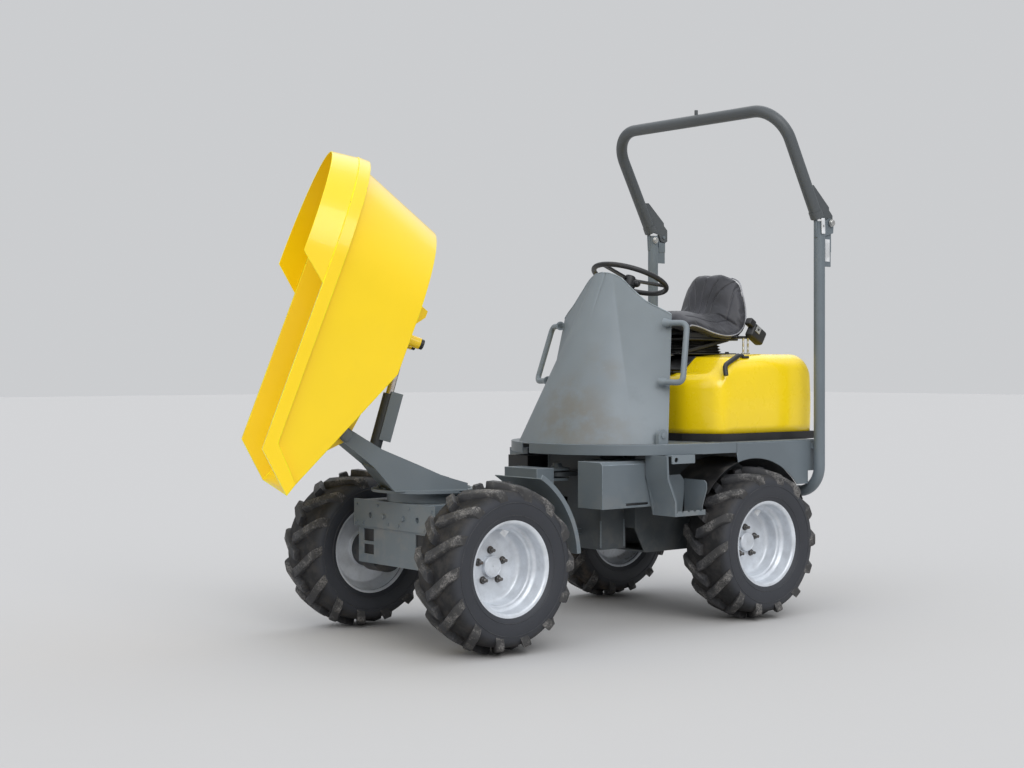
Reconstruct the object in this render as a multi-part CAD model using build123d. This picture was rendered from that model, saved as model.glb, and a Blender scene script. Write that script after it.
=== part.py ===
"""Articulated site dumper with a swivel-tip skip, in millimetres.

Frame: +X forward, +Y to the driver's left, +Z up.  The origin is on the ground straight below the
steering pivot, midway between the axles.  The skip is stored tipped and swivelled to the right.
"""
import os
from math import acos, atan2, cos, hypot, pi, radians, sin, tan

from build123d import *

# ---------------------------------------------------------------- running gear
HALF_BASE = 800.0          # steering pivot to either axle
WHEEL_Y = 515.0            # centre plane of a wheel
TYRE_R = 370.0             # out to the lugs' tips
TYRE_W = 264.0
TREAD_DEPTH = 32.0
LUG_COUNT = 14             # on each side of the tread
LUG_T = 34.0               # along the tread
SHOULDER_DROP = 31.0       # the lugs fall away from the middle to the shoulder
RIM_SEAT_R = 194.0
RIM_FLANGE_R = 211.0
RIM_WELL_R = 168.0
RIM_W = 229.0
RIM_WALL = 6.0
DISC_INSET = 44.0          # wheel disc inboard of the rim's middle
DISC_T = 10.0
STUD_PCD = 140.0
STUD_COUNT = 5
STUD_R = 7.0
NUT_R = 13.0
HUB_CAP_R = 46.0
HUB_CAP_H = 22.0
HUB_R = 88.0
HUB_BACK_T = 18.0
AXLE_TUBE_R = 62.0
RUN_GAP = 0.3              # between pieces that turn on each other
PIN_GAP = 0.1              # radial, pin in bore
WEB = 12.0                 # common plate thickness of ears and brackets

# ---------------------------------------------------------------- rear frame
DECK_TOP = 862.0
DECK_T = 6.0
SKIRT_H = 50.0
SKIRT_T = 6.0
DECK_HALF_W = 550.0
DECK_NOSE_R = 530.0
DECK_NOSE_X = -400.0       # centre of the round nose
DECK_SEAM_X = -670.0
DECK_TAIL_X = -HALF_BASE - 455.0
SLOT_W = 62.0              # notch in the skirt for the pipes
ARCH_GAP = 55.0            # wheel arches and mudguards, outside the tyre

CHASSIS_HALF_W = 270.0
CHASSIS_T = 10.0
CHASSIS_BOTTOM = 330.0
CHASSIS_FRONT_X = -110.0
CHASSIS_TAIL_X = -HALF_BASE - 530.0
TAIL_BOTTOM = 470.0
SHOULDER_X = -262.0        # where the narrow head widens to the side plates
HEAD_HALF_W = 190.0
PIVOT_PIN_R = 20.0
LUG_R = 58.0               # steering pivot's lugs

ENGINE_HALF_W = 200.0
ENGINE_FRONT_X = -640.0
ENGINE_TOP = 1120.0
AXLE_TO_ENGINE = 18.0
FOOT_L = 60.0

BOX_FRONT_X = 90.0         # toolbox and oil tank
BOX_HALF_W = 420.0
BOX_BOTTOM = 568.0
BOX_TOP = 785.0
BOX_CUT_X = -20.0          # its inner front corner is cut back for the turning front frame
BOX_CUT_Y = 250.0
BOX_BEVEL = 14.0
TANK_BACK_X = -470.0
TANK_FRONT_X = -40.0

STEP_BACK_X = TYRE_R - HALF_BASE
STEP_L = 202.0
STEP_INNER_Y = 424.0
STEP_OUTER_Y = 572.0
STEP_BOTTOM = 528.0
STEP_BACK_TOP = 712.0
STEP_T = 6.0
STEP_LIP_H = 24.0
STEP_TEETH = 5

LASH_X = -262.0
LASH_Y = 544.0
LASH_Z = 790.0
LASH_R = 12.0
LASH_T = 8.0
LASH_L = 150.0
LASH_FLANGE = 48.0

HITCH_BORE_R = 13.0
HITCH_REACH = 100.0        # tail to the pin
HITCH_HALF_W = 60.0
HITCH_BOTTOM = 500.0
HITCH_TOP = 620.0
HITCH_T = 28.0

BONNET_BOTTOM = 900.0
BONNET_TOP = 1290.0
BONNET_FRONT_TOP = 1196.0  # where the slope up to the seat begins
BONNET_SLOPE_X = -745.0
BONNET_HALF_W = 480.0
BONNET_FRONT_X = -545.0
BONNET_FRONT_HALF_W = 300.0
BONNET_BEVEL_L = 92.0
BONNET_REAR_X = CHASSIS_TAIL_X - 5.0
BONNET_TAIL_DROP = 95.0
BONNET_WALL = 6.0
BONNET_ROUND = 55.0
SILL_W = 24.0
HINGE_BACK = 16.0          # bonnet hinge line, behind the bonnet and below its edge
HINGE_DROP = 10.0
HINGE_Y = 242.0
HINGE_PIN_R = 8.0

POST_X = -HALF_BASE - 425.0
POST_Y = 595.0
POST_R = 28.0
POST_TOP = 1955.0
POST_BEND = 130.0
FOOT_Z = 598.0
HOOP_R = 30.0
HOOP_TOP = (POST_X + 300.0, 2497.0)        # X and Z of the top tube
HOOP_FOOT = (POST_X + 17.0, 1972.0)
HOOP_BEND = 170.0
HOOP_HINGE = (POST_X - 73.0, 1950.0)
HOOP_PIN_R = 9.0
EAR_T = 8.0

CONSOLE_T = 5.0
CONSOLE_H = 830.0          # height of the uncut shield
CONSOLE_FOOT = (108.0, 430.0, 462.0, -292.0)    # nose X, nose radius, half width, rear X
CONSOLE_HEAD = (-292.0, 165.0, 362.0, -425.0)   # the same at the uncut top
HANDLE_R = 12.0
HANDLE_BEND = 30.0
EAR_PIN_R = 13.0

STEER_HUB = (-470.0, 0.0, 1632.0)
STEER_DIR = Vector(-0.36, 0, 0.933).normalized()
STEER_WHEEL_R = 187.0
STEER_RIM_R = 13.0
STEER_DISH = 36.0
SPOKE_W = 26.0
SPOKE_T = 10.0
COLUMN_R = 32.0

SEAT_X = -905.0
SEAT_HALF_W = 235.0
PLINTH_H = 60.0
SEAT_PAN_H = 98.0
CUSHION_T = 76.7
BACK_H = 228.0
BACK_T = 78.0
BACK_LEAN = 85.0

# ---------------------------------------------------------------- front frame
FRONT_TOP = 622.0
FRONT_BOTTOM = 360.0
FRONT_HALF_W = 250.0
FRONT_NOSE_X = HALF_BASE + 155.0
FRONT_WALL = 10.0
NECK_HALF_W = 120.0
NECK_END_X = HALF_BASE - 380.0
YOKE_X = 125.0
YOKE_L = 105.0
PLATE_HALF_W = 310.0
PLATE_LOW_Z = 500.0
PLATE_T = 12.0
PLATE_HOLE = (180.0, 553.0)
PLATE_HOLE_R = 14.0
LOWER_HALF_W = 280.0
LOWER_BOTTOM = 335.0
GUARD_OUT_Y = 568.0
GUARD_FLANGE = 22.0
GUARD_SHEET = 5.0
GUARD_FROM_DEG = 30.0      # back from straight above the axle
GUARD_SPAN_DEG = 56.0

SLEW_RING_R = 165.0
SLEW_BORE_R = 105.0
SLEW_RING_TOP = 668.0
TURNTABLE_R = 235.0
TURNTABLE_T = 12.0
SWIVEL_DEG = -25.2         # as stored, to the driver's right
TIP_DEG = 70.0             # as stored, fully tipped

# steering cylinder, level on the right of the pivot
STEER_FOOT = (-470.0, -105.0)
STEER_EYE = (150.0, -190.0)
STEER_Z = 560.0
STEER_PIN_R = 10.0
STEER_R = 24.0
STEER_ROD_R = 13.0
STEER_BARREL_L = 356.0
STEER_EYE_R = 20.0

# swivel frame: u forward from the slew axis, z up from the ground
TIP_PIVOT = (382.0, 931.0)
TIP_PIN_R = 15.0
ARM_Y = 200.0              # outer face of each tip-frame arm
ARM_T = 12.0
CYL_FOOT = (235.0, 815.0)
CYL_EYE = (85.0, 1360.0)
CYL_R = 28.0
ROD_R = 17.5
CYL_PIN_R = 12.0
CYL_EAR_Y = 30.0
BARREL_L = 280.0
BARREL_NECK = 20.0         # foot pin to the barrel's end
ROD_TAIL = 250.0           # foot pin to the rod's hidden end
GUARD_CHANNEL_W = 72.0
GUARD_CHANNEL_FROM = 90.0     # along the cylinder, from its foot pin
GUARD_CHANNEL_L = 222.0

# skip frame, with the skip lowered: u forward and w up from the tip pivot
SKIP_T = 6.0
SKIP_HALF_W = 500.0        # out to the rim band
BAND_PROUD = 22.0
BAND_H = 54.0
RIM_W_TOP = 352.0
FLOOR_W = -85.0
FLOOR_HALF_W = 440.0
FLOOR_REAR_U = -990.0
SKIP_REAR_U = -1180.0
RAMP_FOOT_U = -310.0
LIP = (324.0, 191.0)
RIM_NOSE_U = 174.0
GUARD_TOP_W = 470.0
GUARD_LEAN = 17.0
GUARD_FOOT_U = -556.0
GUARD_CORNER_U = -658.0
GUARD_T = 5.0
GUSSET = (-248.0, 170.0)   # u where the pivot gusset leaves the ramp
GUSSET_Y = 164.0
BUFFER = (-492.0, 88.0, 106.0)      # u, v and height of the rubber stop under the floor
CATCH = (-620.0, 88.0)     # u and v of the transport catch

os.makedirs("parts", exist_ok=True)
SIDES = (1, -1)
FAR = 3000.0               # past the whole machine, for cutting blocks


# ---------------------------------------------------------------- helpers
def prism(corners, sweep):
    """A flat outline of 3-D corners, extruded along the vector sweep."""
    return Solid.extrude(Face(Wire.make_polygon([Vector(*c) for c in corners], close=True)), Vector(*sweep))


def xz_plate(outline, y_low, y_high):
    return prism([(x, y_low, z) for x, z in outline], (0, y_high - y_low, 0))


def xy_plate(outline, z_low, z_high):
    return prism([(x, y, z_low) for x, y in outline], (0, 0, z_high - z_low))


def yz_plate(outline, x_low, x_high):
    return prism([(x_low, y, z) for y, z in outline], (x_high - x_low, 0, 0))


def block(x, y, z):
    """A box from its low and high values along each axis."""
    return Pos(x[0], y[0], z[0]) * Solid.make_box(x[1] - x[0], y[1] - y[0], z[1] - z[0])


def rod(start, end, radius):
    start, end = Vector(*start), Vector(*end)
    along = end - start
    return Solid.make_cylinder(radius, along.length, Plane(origin=start, z_dir=along))


def disc_y(x, z, radius, y_low, y_high):
    return rod((x, y_low, z), (x, y_high, z), radius)


def disc_z(x, y, radius, z_low, z_high):
    return rod((x, y, z_low), (x, y, z_high), radius)


def bent_tube(points, radius, bend):
    """A round bar along straight runs joined by tangent arcs of radius bend."""
    path = FilletPolyline(*points, radius=bend)
    start = Plane(origin=path @ 0, z_dir=path % 0)
    return sweep(start * Circle(radius), path=path).solid()


def fuse(*shapes):
    whole = shapes[0]
    for shape in shapes[1:]:
        whole = whole + shape
    return whole


def mirrored(shape):
    return shape.mirror(Plane.XZ)


def both(shape):
    """The left piece and its mirror image on the right, in one node."""
    return Compound(children=[*shape.solids(), *mirrored(shape).solids()])


def write(shape, name):
    export_step(shape, f"parts/{name}.step")


# ---------------------------------------------------------------- wheels
def revolved(profile):
    """Turn an outline of (offset along the axle, radius) round the Y axis."""
    face = Face(Wire.make_polygon([Vector(0, y, r) for y, r in profile], close=True))
    return Solid.revolve(face, 360, Axis.Y)


def faceted(profile, count):
    """Turn a closed outline of (offset along the axle, radius) into flat facets round the Y axis."""
    def corner(y, r, k):
        turn = 2 * pi * k / count - pi / 2
        return Vector(r * cos(turn), y, r * sin(turn))
    faces = []
    for k in range(count):
        for (y0, r0), (y1, r1) in zip(profile, profile[1:] + profile[:1]):
            ring = [corner(y0, r0, k), corner(y1, r1, k), corner(y1, r1, k + 1), corner(y0, r0, k + 1)]
            faces.append(Face(Wire.make_polygon(ring, close=True)))
    return Solid(Shell(faces))


def lug(turn, side):
    """One bar of the tread, from the middle of the tyre to its shoulder; side is +1 or -1."""
    half = TYRE_W / 2
    root = TYRE_R - TREAD_DEPTH - 36
    # offset along the axle, back and front edge along the tread, radius of the tip
    stations = ((-12, -LUG_T / 2, LUG_T / 2, TYRE_R), (half, 84, 88 + LUG_T, TYRE_R - SHOULDER_DROP))

    def corner(y, s, radius):
        angle = turn + (s - LUG_T / 2) / TYRE_R
        return Vector(radius * cos(angle), side * y, radius * sin(angle))
    tips = [corner(y, back, r) for y, back, _, r in stations]
    tips += [corner(y, front, r) for y, _, front, r in reversed(stations)]
    roots = [corner(y, back, root) for y, back, _, _ in stations]
    roots += [corner(y, front, root) for y, _, front, _ in reversed(stations)]
    faces = [[ring[i] for i in triple] for ring in (tips, roots) for triple in ((0, 1, 3), (1, 2, 3))]
    for i in range(len(tips)):
        j = (i + 1) % len(tips)
        faces += [[tips[i], tips[j], roots[j]], [tips[i], roots[j], roots[i]]]
    return Solid(Shell([Face(Wire.make_polygon(face, close=True)) for face in faces]))


def tyre():
    """Faceted carcass with chevron lugs, staggered half a pitch from side to side."""
    half = TYRE_W / 2
    facets = 2 * LUG_COUNT
    bead = (RIM_SEAT_R + PIN_GAP) / cos(pi / facets)
    inner = RIM_W / 2 - RIM_WALL - 6
    side = [(-inner, bead), (-half + 3, 276), (-half + 36, TYRE_R - TREAD_DEPTH)]
    carcass = faceted(side + [(-y, r) for y, r in reversed(side)], facets)
    lugs = [lug(pi * k / LUG_COUNT - pi / 2, SIDES[k % 2]) for k in range(facets)]
    return carcass.fuse(*lugs).solid()


def rim(side):
    """Barrel, disc, hub and wheel nuts; side is +1 where the outside of the wheel faces +Y."""
    half = RIM_W / 2
    seat, flange, wall, well = RIM_SEAT_R, RIM_FLANGE_R, RIM_WALL, RIM_WELL_R
    outer = [(-half, flange), (-half + wall, flange), (-half + wall, seat), (-62, seat), (-44, well),
             (30, well), (56, seat), (half - wall, seat), (half - wall, flange), (half, flange)]
    inner = [(half, flange - wall), (half - 2, seat - wall), (54, seat - wall), (28, well - wall),
             (-46, well - wall), (-64, seat - wall), (-half + 2, seat - wall), (-half, flange - wall)]
    barrel = revolved(outer + inner)
    face = DISC_T - DISC_INSET
    disc = disc_y(0, 0, well - wall / 2, -DISC_INSET, face)
    cap = disc_y(0, 0, HUB_CAP_R, face - 1, face + HUB_CAP_H)
    flange_back = disc_y(0, 0, HUB_R, -DISC_INSET - HUB_BACK_T, -DISC_INSET + 1)
    wheel = fuse(barrel, disc, cap, flange_back)
    for k in range(STUD_COUNT):
        turn = 2 * pi * k / STUD_COUNT + pi / 2
        x, z = STUD_PCD / 2 * cos(turn), STUD_PCD / 2 * sin(turn)
        wheel = fuse(wheel, disc_y(x, z, NUT_R, face - 1, face + NUT_R), disc_y(x, z, STUD_R, face, face + 2 * NUT_R))
    return wheel if side > 0 else mirrored(wheel)


def axle():
    """Straight axle tube with a drive-motor housing inside each wheel, centred on the origin."""
    motor_end = WHEEL_Y - DISC_INSET - HUB_BACK_T - RUN_GAP
    collar = motor_end - 72
    tube = disc_y(0, 0, AXLE_TUBE_R, -collar, collar)
    motor = fuse(disc_y(0, 0, 98, collar - 104, collar), disc_y(0, 0, 84, collar - 1, motor_end))
    return fuse(tube, motor, mirrored(motor))


WHEELS = (("front_left", 1, 1), ("front_right", 1, -1), ("rear_left", -1, 1), ("rear_right", -1, -1))
TYRE = tyre()
for name, end, side in WHEELS:
    place = Pos(end * HALF_BASE, side * WHEEL_Y, TYRE_R)
    write(place * TYRE, f"tyre_{name}")
    write(place * rim(side), f"rim_{name}")
for name, end in (("front", 1), ("rear", -1)):
    write(Pos(end * HALF_BASE, 0, TYRE_R) * axle(), f"{name}_axle")


# ---------------------------------------------------------------- rear frame
DECK_BOTTOM = DECK_TOP - SKIRT_H
TONGUES = (("upper", 700.0), ("lower", 420.0))
TONGUE_T = 20.0
CLEVIS_GAP = 8.0
CLEVIS_T = 12.0
CLEVIS_REACH = CLEVIS_GAP + CLEVIS_T       # tongue to the clevis plate's far face
YOKE_TOP = TONGUES[0][1] + TONGUE_T + CLEVIS_REACH + 8


def pivot_lug(z_low, z_high, x_root):
    """A plate from x_root to the steering pivot, round at its end, with a bore for the pin."""
    half = LUG_R - 4
    root = block(sorted((0, x_root)), (-half, half), (z_low, z_high))
    return fuse(root, disc_z(0, 0, LUG_R, z_low, z_high)) - disc_z(0, 0, PIVOT_PIN_R + PIN_GAP, z_low, z_high)


def hinge_ear(y_low, y_high):
    """Bracket on the tail for the bonnet's hinge pin."""
    x, z = BONNET_REAR_X - HINGE_BACK, BONNET_BOTTOM - HINGE_DROP
    ear = xz_plate([(CHASSIS_TAIL_X + 2, TAIL_BOTTOM + 280), (CHASSIS_TAIL_X + 2, DECK_BOTTOM), (x + 14, z),
                    (x - 14, z), (x - 14, z - 40)], y_low, y_high)
    return ear + disc_y(x, z, 14, y_low, y_high)


def rear_chassis():
    inside = CHASSIS_HALF_W - CHASSIS_T
    nose = (SHOULDER_X, CHASSIS_BOTTOM + 120)
    side = xz_plate([nose, (nose[0] - 68, CHASSIS_BOTTOM), (-HALF_BASE - 260, CHASSIS_BOTTOM),
                     (CHASSIS_TAIL_X, TAIL_BOTTOM), (CHASSIS_TAIL_X, DECK_BOTTOM), (SHOULDER_X, DECK_BOTTOM)],
                    inside, CHASSIS_HALF_W)
    box = block((SHOULDER_X - CHASSIS_T, CHASSIS_FRONT_X), (-HEAD_HALF_W, HEAD_HALF_W),
                (CHASSIS_BOTTOM + 20, DECK_BOTTOM))
    across = (-CHASSIS_HALF_W, CHASSIS_HALF_W)
    shoulder = block((SHOULDER_X - CHASSIS_T, SHOULDER_X), across, (nose[1], DECK_BOTTOM))
    floor = block((-HALF_BASE - 260, nose[0] - 68), across, (CHASSIS_BOTTOM, CHASSIS_BOTTOM + 8))
    tail = block((CHASSIS_TAIL_X, CHASSIS_TAIL_X + WEB), across, (TAIL_BOTTOM, DECK_BOTTOM))
    cross_x = STEER_FOOT[0] - 60
    cross = block((cross_x, cross_x + CHASSIS_T), across, (CHASSIS_BOTTOM, DECK_BOTTOM))
    frame = fuse(box, shoulder, side, mirrored(side), floor, tail, cross)
    for _, z in TONGUES:
        frame = frame + pivot_lug(z, z + TONGUE_T, CHASSIS_FRONT_X - 2)
    frame = frame - disc_y(-HALF_BASE, TYRE_R, AXLE_TUBE_R + PIN_GAP, -400, 400)
    window = STEER_R + 8
    frame = frame - block((SHOULDER_X - 20, CHASSIS_FRONT_X + 5), (STEER_EYE[1] - 58, -50),
                          (STEER_Z - window, STEER_Z + window))
    fx, fy = STEER_FOOT
    for z in (STEER_Z - 27, STEER_Z + 15):
        ear = block((cross_x + 8, fx), (fy - STEER_R, fy + STEER_R), (z, z + WEB))
        frame = fuse(frame, ear, disc_z(fx, fy, STEER_R, z, z + WEB))
    frame = frame + disc_z(fx, fy, STEER_PIN_R, STEER_Z - 27, STEER_Z + 27)
    ear = hinge_ear(HINGE_Y, HINGE_Y + WEB)
    pin_x, pin_z = BONNET_REAR_X - HINGE_BACK, BONNET_BOTTOM - HINGE_DROP
    pin = disc_y(pin_x, pin_z, HINGE_PIN_R, HINGE_Y - 14, HINGE_Y + WEB)
    frame = fuse(frame, ear, mirrored(ear), pin, mirrored(pin))
    for z in (TONGUES[0][1] - 30, TONGUES[0][1] - 108):
        frame = frame - disc_y(CHASSIS_FRONT_X - 22, z, 5, HEAD_HALF_W - 8, HEAD_HALF_W + 1)
    return frame


def nose_outline(z, inset=0.0):
    """Deck plan: a round nose that runs out to straight sides, closed across the tail."""
    radius = DECK_NOSE_R - inset
    half = DECK_HALF_W - inset
    shoulder_x = DECK_NOSE_X - 60
    arc = ThreePointArc((DECK_NOSE_X, -radius, z), (DECK_NOSE_X + radius, 0, z), (DECK_NOSE_X, radius, z))
    rest = Polyline((DECK_NOSE_X, radius, z), (shoulder_x, half, z), (DECK_TAIL_X + inset, half, z),
                    (DECK_TAIL_X + inset, -half, z), (shoulder_x, -half, z), (DECK_NOSE_X, -radius, z))
    return Face(Wire([*arc.edges(), *rest.edges()]))


def deck():
    web = SKIRT_H - DECK_T
    plate = Solid.extrude(nose_outline(DECK_TOP - DECK_T), Vector(0, 0, DECK_T))
    skirt = Solid.extrude(nose_outline(DECK_BOTTOM), Vector(0, 0, web))
    hollow = Solid.extrude(nose_outline(DECK_BOTTOM, SKIRT_T), Vector(0, 0, web))
    behind = block((-FAR, DECK_SEAM_X), (-FAR, FAR), (DECK_BOTTOM - 5, DECK_TOP - DECK_T))
    engine_bay = block((-FAR, BONNET_FRONT_X - 25), (-BONNET_HALF_W + 40, BONNET_HALF_W - 40),
                       (DECK_BOTTOM, DECK_TOP + 5))
    slot_x = DECK_NOSE_X + DECK_NOSE_R
    slot = block((slot_x - 160, slot_x + 1), (-SLOT_W * 2, -SLOT_W), (DECK_BOTTOM - 1, DECK_TOP - DECK_T))
    return (plate + (skirt - hollow - behind - slot)) - engine_bay


def side_plate():
    """Left plate beside the rear wheel: deck edge with the wheel-arch cut, down to the post's foot."""
    rear = POST_X + POST_R + 5
    foot = FOOT_Z + 42
    panel = xz_plate([(DECK_SEAM_X - 1, DECK_TOP - DECK_T), (DECK_SEAM_X - 1, DECK_BOTTOM),
                      (DECK_SEAM_X - 40, foot), (rear, foot), (rear, foot + 65), (DECK_TAIL_X, foot + 65),
                      (DECK_TAIL_X, DECK_TOP - DECK_T)], DECK_HALF_W - SKIRT_T, DECK_HALF_W)
    arch = disc_y(-HALF_BASE + 5, TYRE_R - 15, TYRE_R + ARCH_GAP, DECK_HALF_W - 50, DECK_HALF_W + 50)
    return panel - arch


def engine_block():
    bottom = TYRE_R + AXLE_TUBE_R + AXLE_TO_ENGINE
    rear = CHASSIS_TAIL_X + 120
    body = block((rear, ENGINE_FRONT_X), (-ENGINE_HALF_W, ENGINE_HALF_W), (bottom, ENGINE_TOP))
    inside = CHASSIS_HALF_W - CHASSIS_T
    feet = [block((x, x + FOOT_L), (-inside, inside), (bottom + 50, bottom + 90))
            for x in (rear + 30, ENGINE_FRONT_X - 100)]
    return fuse(body, *feet)


def bonnet_plan(inset):
    """Corners of the bonnet seen from above: a square rear and a bevelled front."""
    f, r, h = BONNET_FRONT_X - inset, BONNET_REAR_X + inset, BONNET_HALF_W - inset
    b, w = BONNET_BEVEL_L, BONNET_FRONT_HALF_W
    return [(f, -w), (f - b, -h), (r, -h), (r, h), (f - b, h), (f, w)]


def sill():
    """Black seal strip that the bonnet closes on."""
    top = BONNET_BOTTOM - RUN_GAP
    return xy_plate(bonnet_plan(2), DECK_TOP, top) - xy_plate(bonnet_plan(2 + SILL_W), DECK_TOP - 1, top + 1)


def rops_post():
    path = [(POST_X, CHASSIS_HALF_W, FOOT_Z), (POST_X, POST_Y, FOOT_Z), (POST_X, POST_Y, POST_TOP)]
    tube = bent_tube(path, POST_R, POST_BEND)
    hx, hz = HOOP_HINGE
    # hinge ear seen from the side, from the front of the post round to the back of the pin
    ear = xz_plate([(POST_X - 10, POST_TOP - 78), (POST_X - 10, POST_TOP - 5), (hx, POST_TOP + 20),
                    (hx - 26, POST_TOP - 5), (hx - 22, hz - 50)], POST_Y + 2, POST_Y + 2 + EAR_T)
    strip = block((POST_X - 88, POST_X - 20), (POST_Y - 4, POST_Y + 2), (POST_TOP - 150, POST_TOP - 60))
    pin = disc_y(hx, hz, HOOP_PIN_R, POST_Y - 16, POST_Y + 18)
    tab = block((POST_X - 15, POST_X + 15), (DECK_HALF_W, POST_Y - POST_R + 2), (DECK_BOTTOM + 3, DECK_BOTTOM + 33))
    return fuse(tube, ear, strip, pin, tab)


def rops_hoop():
    (top_x, top_z), (foot_x, foot_z) = HOOP_TOP, HOOP_FOOT
    path = [(foot_x, POST_Y, foot_z), (top_x, POST_Y, top_z), (top_x, -POST_Y, top_z), (foot_x, -POST_Y, foot_z)]
    tube = bent_tube(path, HOOP_R, HOOP_BEND)
    hx, hz = HOOP_HINGE
    # ear outline seen from the side: up along the tube, over the pin and back under it
    ear = xz_plate([(foot_x + 66, foot_z + 112), (foot_x + 40, foot_z + 118), (foot_x - 34, hz + 76),
                    (hx - 8, hz + 62), (hx - 30, hz + 40), (hx - 30, hz - 20), (hx - 14, hz - 30),
                    (hx + 20, hz - 22), (hx + 36, foot_z - 8), (foot_x + 20, foot_z + 10)],
                   POST_Y - 1 - EAR_T, POST_Y - 1)
    ear = ear - disc_y(hx, hz, HOOP_PIN_R + PIN_GAP, 0, FAR)
    stub = rod((top_x, 30, top_z), (top_x, 30, top_z + HOOP_R + 24), 9)
    return fuse(tube, ear, mirrored(ear), stub)


def shield(inset=0.0):
    """The shield before its top is cut: a round nose with flat flanks, smaller and further back higher up."""
    def section(sizes, z):
        nose, radius, half, rear = sizes
        centre, radius, half = nose - radius, radius - inset, half - inset
        turn = atan2(half, rear - centre) - acos(radius / hypot(rear - centre, half))
        tx, ty = centre + radius * cos(turn), radius * sin(turn)
        arc = ThreePointArc((tx, -ty, z), (centre + radius, 0, z), (tx, ty, z))
        back = rear - (FAR / 10 if inset else 0)
        rest = Polyline((tx, ty, z), (rear, half, z), (back, half, z), (back, -half, z), (rear, -half, z),
                        (tx, -ty, z)) if inset else \
            Polyline((tx, ty, z), (rear, half, z), (rear, -half, z), (tx, -ty, z))
        return Wire([*arc.edges(), *rest.edges()])
    return Solid.make_loft([section(CONSOLE_FOOT, DECK_TOP), section(CONSOLE_HEAD, DECK_TOP + CONSOLE_H)],
                           ruled=True)


def console():
    """Curved shield in front of the driver's legs, cut to a tombstone top, with its two pivot ears."""
    shell = shield() - shield(CONSOLE_T)
    base = DECK_TOP
    # half width and height above the deck of the shield's top edge, from the rear corner to the crown
    corner, round_mid, shoulder, hollow, neck = (412, 548), (394, 606), (345, 635), (268, 673), (175, 744)
    crown = 826

    def at(point, side):
        return (0, side * point[0], base + point[1])
    left, right = [at(p, 1) for p in (corner, round_mid, shoulder, hollow, neck)], \
        [at(p, -1) for p in (corner, round_mid, shoulder, hollow, neck)]
    low = [(0, -2 * DECK_HALF_W, base + corner[1]), (0, -2 * DECK_HALF_W, base - 60),
           (0, 2 * DECK_HALF_W, base - 60), (0, 2 * DECK_HALF_W, base + corner[1])]
    head = make_face([
        Polyline(right[0], *low, left[0]), ThreePointArc(*left[:3]), Polyline(*left[2:]),
        ThreePointArc(left[4], (0, 0, base + crown), right[4]), Polyline(*reversed(right[2:])),
        ThreePointArc(*reversed(right[:3]))])
    window = Pos(-FAR / 2, 0, 0) * extrude(head, amount=FAR, dir=(1, 0, 0))
    whole = (shell & window).solid()
    nose, radius, half, rear = CONSOLE_FOOT
    ear = disc_y(rear + 40, base + 40, 30, half - 40, half + 9) + block((rear + 10, rear + 70), (half - 40, half + 9),
                                                                     (base, base + 40))
    ear = ear - (shield() & block((-FAR, FAR), (0, FAR), (0, FAR)))
    ear = ear.solids().sort_by(Axis.Y)[-1] + disc_y(rear + 40, base + 40, EAR_PIN_R, half - 4, half + 14)
    return fuse(whole, ear, mirrored(ear))


def grab_handles():
    """A bar on each rear edge of the shield, and a small loop at the deck's nose."""
    tube = bent_tube([(-330, 372, 1442), (-470, 408, 1438), (-452, 430, 1176), (-310, 415, 1158)],
                     HANDLE_R, HANDLE_BEND)
    side = (tube - shield()).solids().sort_by(Axis.X)[0]
    loop = bent_tube([(-132, -470, DECK_TOP), (-150, -498, DECK_TOP + 74), (-238, -506, DECK_TOP + 74),
                      (-256, -484, DECK_TOP)], 6, 22)
    loop = loop - block((-FAR, FAR), (-FAR, FAR), (DECK_TOP - 30, DECK_TOP))
    return Compound(children=[*both(side).solids(), *loop.solids()])


def steering_column():
    """Column from the deck up to the wheel, with a drive lever and its knob on the left."""
    hub = Vector(*STEER_HUB)
    above_deck = block((-FAR, FAR), (-FAR, FAR), (DECK_TOP, FAR))
    column = (rod(hub - STEER_DIR * 900, hub, COLUMN_R) & above_deck).solid()
    root = hub - STEER_DIR * 70
    tip = root + Vector(30, 120, 70)
    return fuse(column, rod(root, tip, 6), Pos(*tip) * Solid.make_sphere(19))


def steering_wheel():
    face = Plane(origin=STEER_HUB, z_dir=STEER_DIR)
    ring = Solid.make_torus(STEER_WHEEL_R, STEER_RIM_R, face.offset(STEER_DISH))
    wheel = ring + Solid.make_cylinder(COLUMN_R + 2, STEER_DISH + 4, face.offset(RUN_GAP))
    for turn in (0, 120, 240):
        spoke = Pos(0, -SPOKE_W / 2, 0) * Solid.make_box(STEER_WHEEL_R - 4, SPOKE_W, SPOKE_T)
        wheel = wheel + (face.offset(STEER_DISH - SPOKE_T) * Rot(0, 0, turn) * spoke)
    return wheel


def toolbox():
    """Box on the left of the head, its inner front corner cut back for the turning front frame."""
    plan = [(SHOULDER_X, HEAD_HALF_W), (BOX_CUT_X, HEAD_HALF_W), (BOX_CUT_X + 80, BOX_CUT_Y),
            (BOX_FRONT_X, BOX_CUT_Y), (BOX_FRONT_X, BOX_HALF_W), (SHOULDER_X, BOX_HALF_W)]
    box = xy_plate(plan, BOX_BOTTOM, BOX_TOP)
    outer = box.edges().filter_by(Axis.X).filter_by(lambda e: e.center().Y > BOX_HALF_W - 1)
    box = box.chamfer(BOX_BEVEL, BOX_BEVEL, [outer.sort_by(Axis.Z)[-1]])
    return box - block((-200, -60), (BOX_HALF_W - 4, BOX_HALF_W + 1), (BOX_BOTTOM + 10, BOX_BOTTOM + 22))


def oil_tank():
    return block((TANK_BACK_X, TANK_FRONT_X), (-BOX_HALF_W, -CHASSIS_HALF_W), (BOX_BOTTOM, BOX_TOP))


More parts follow.
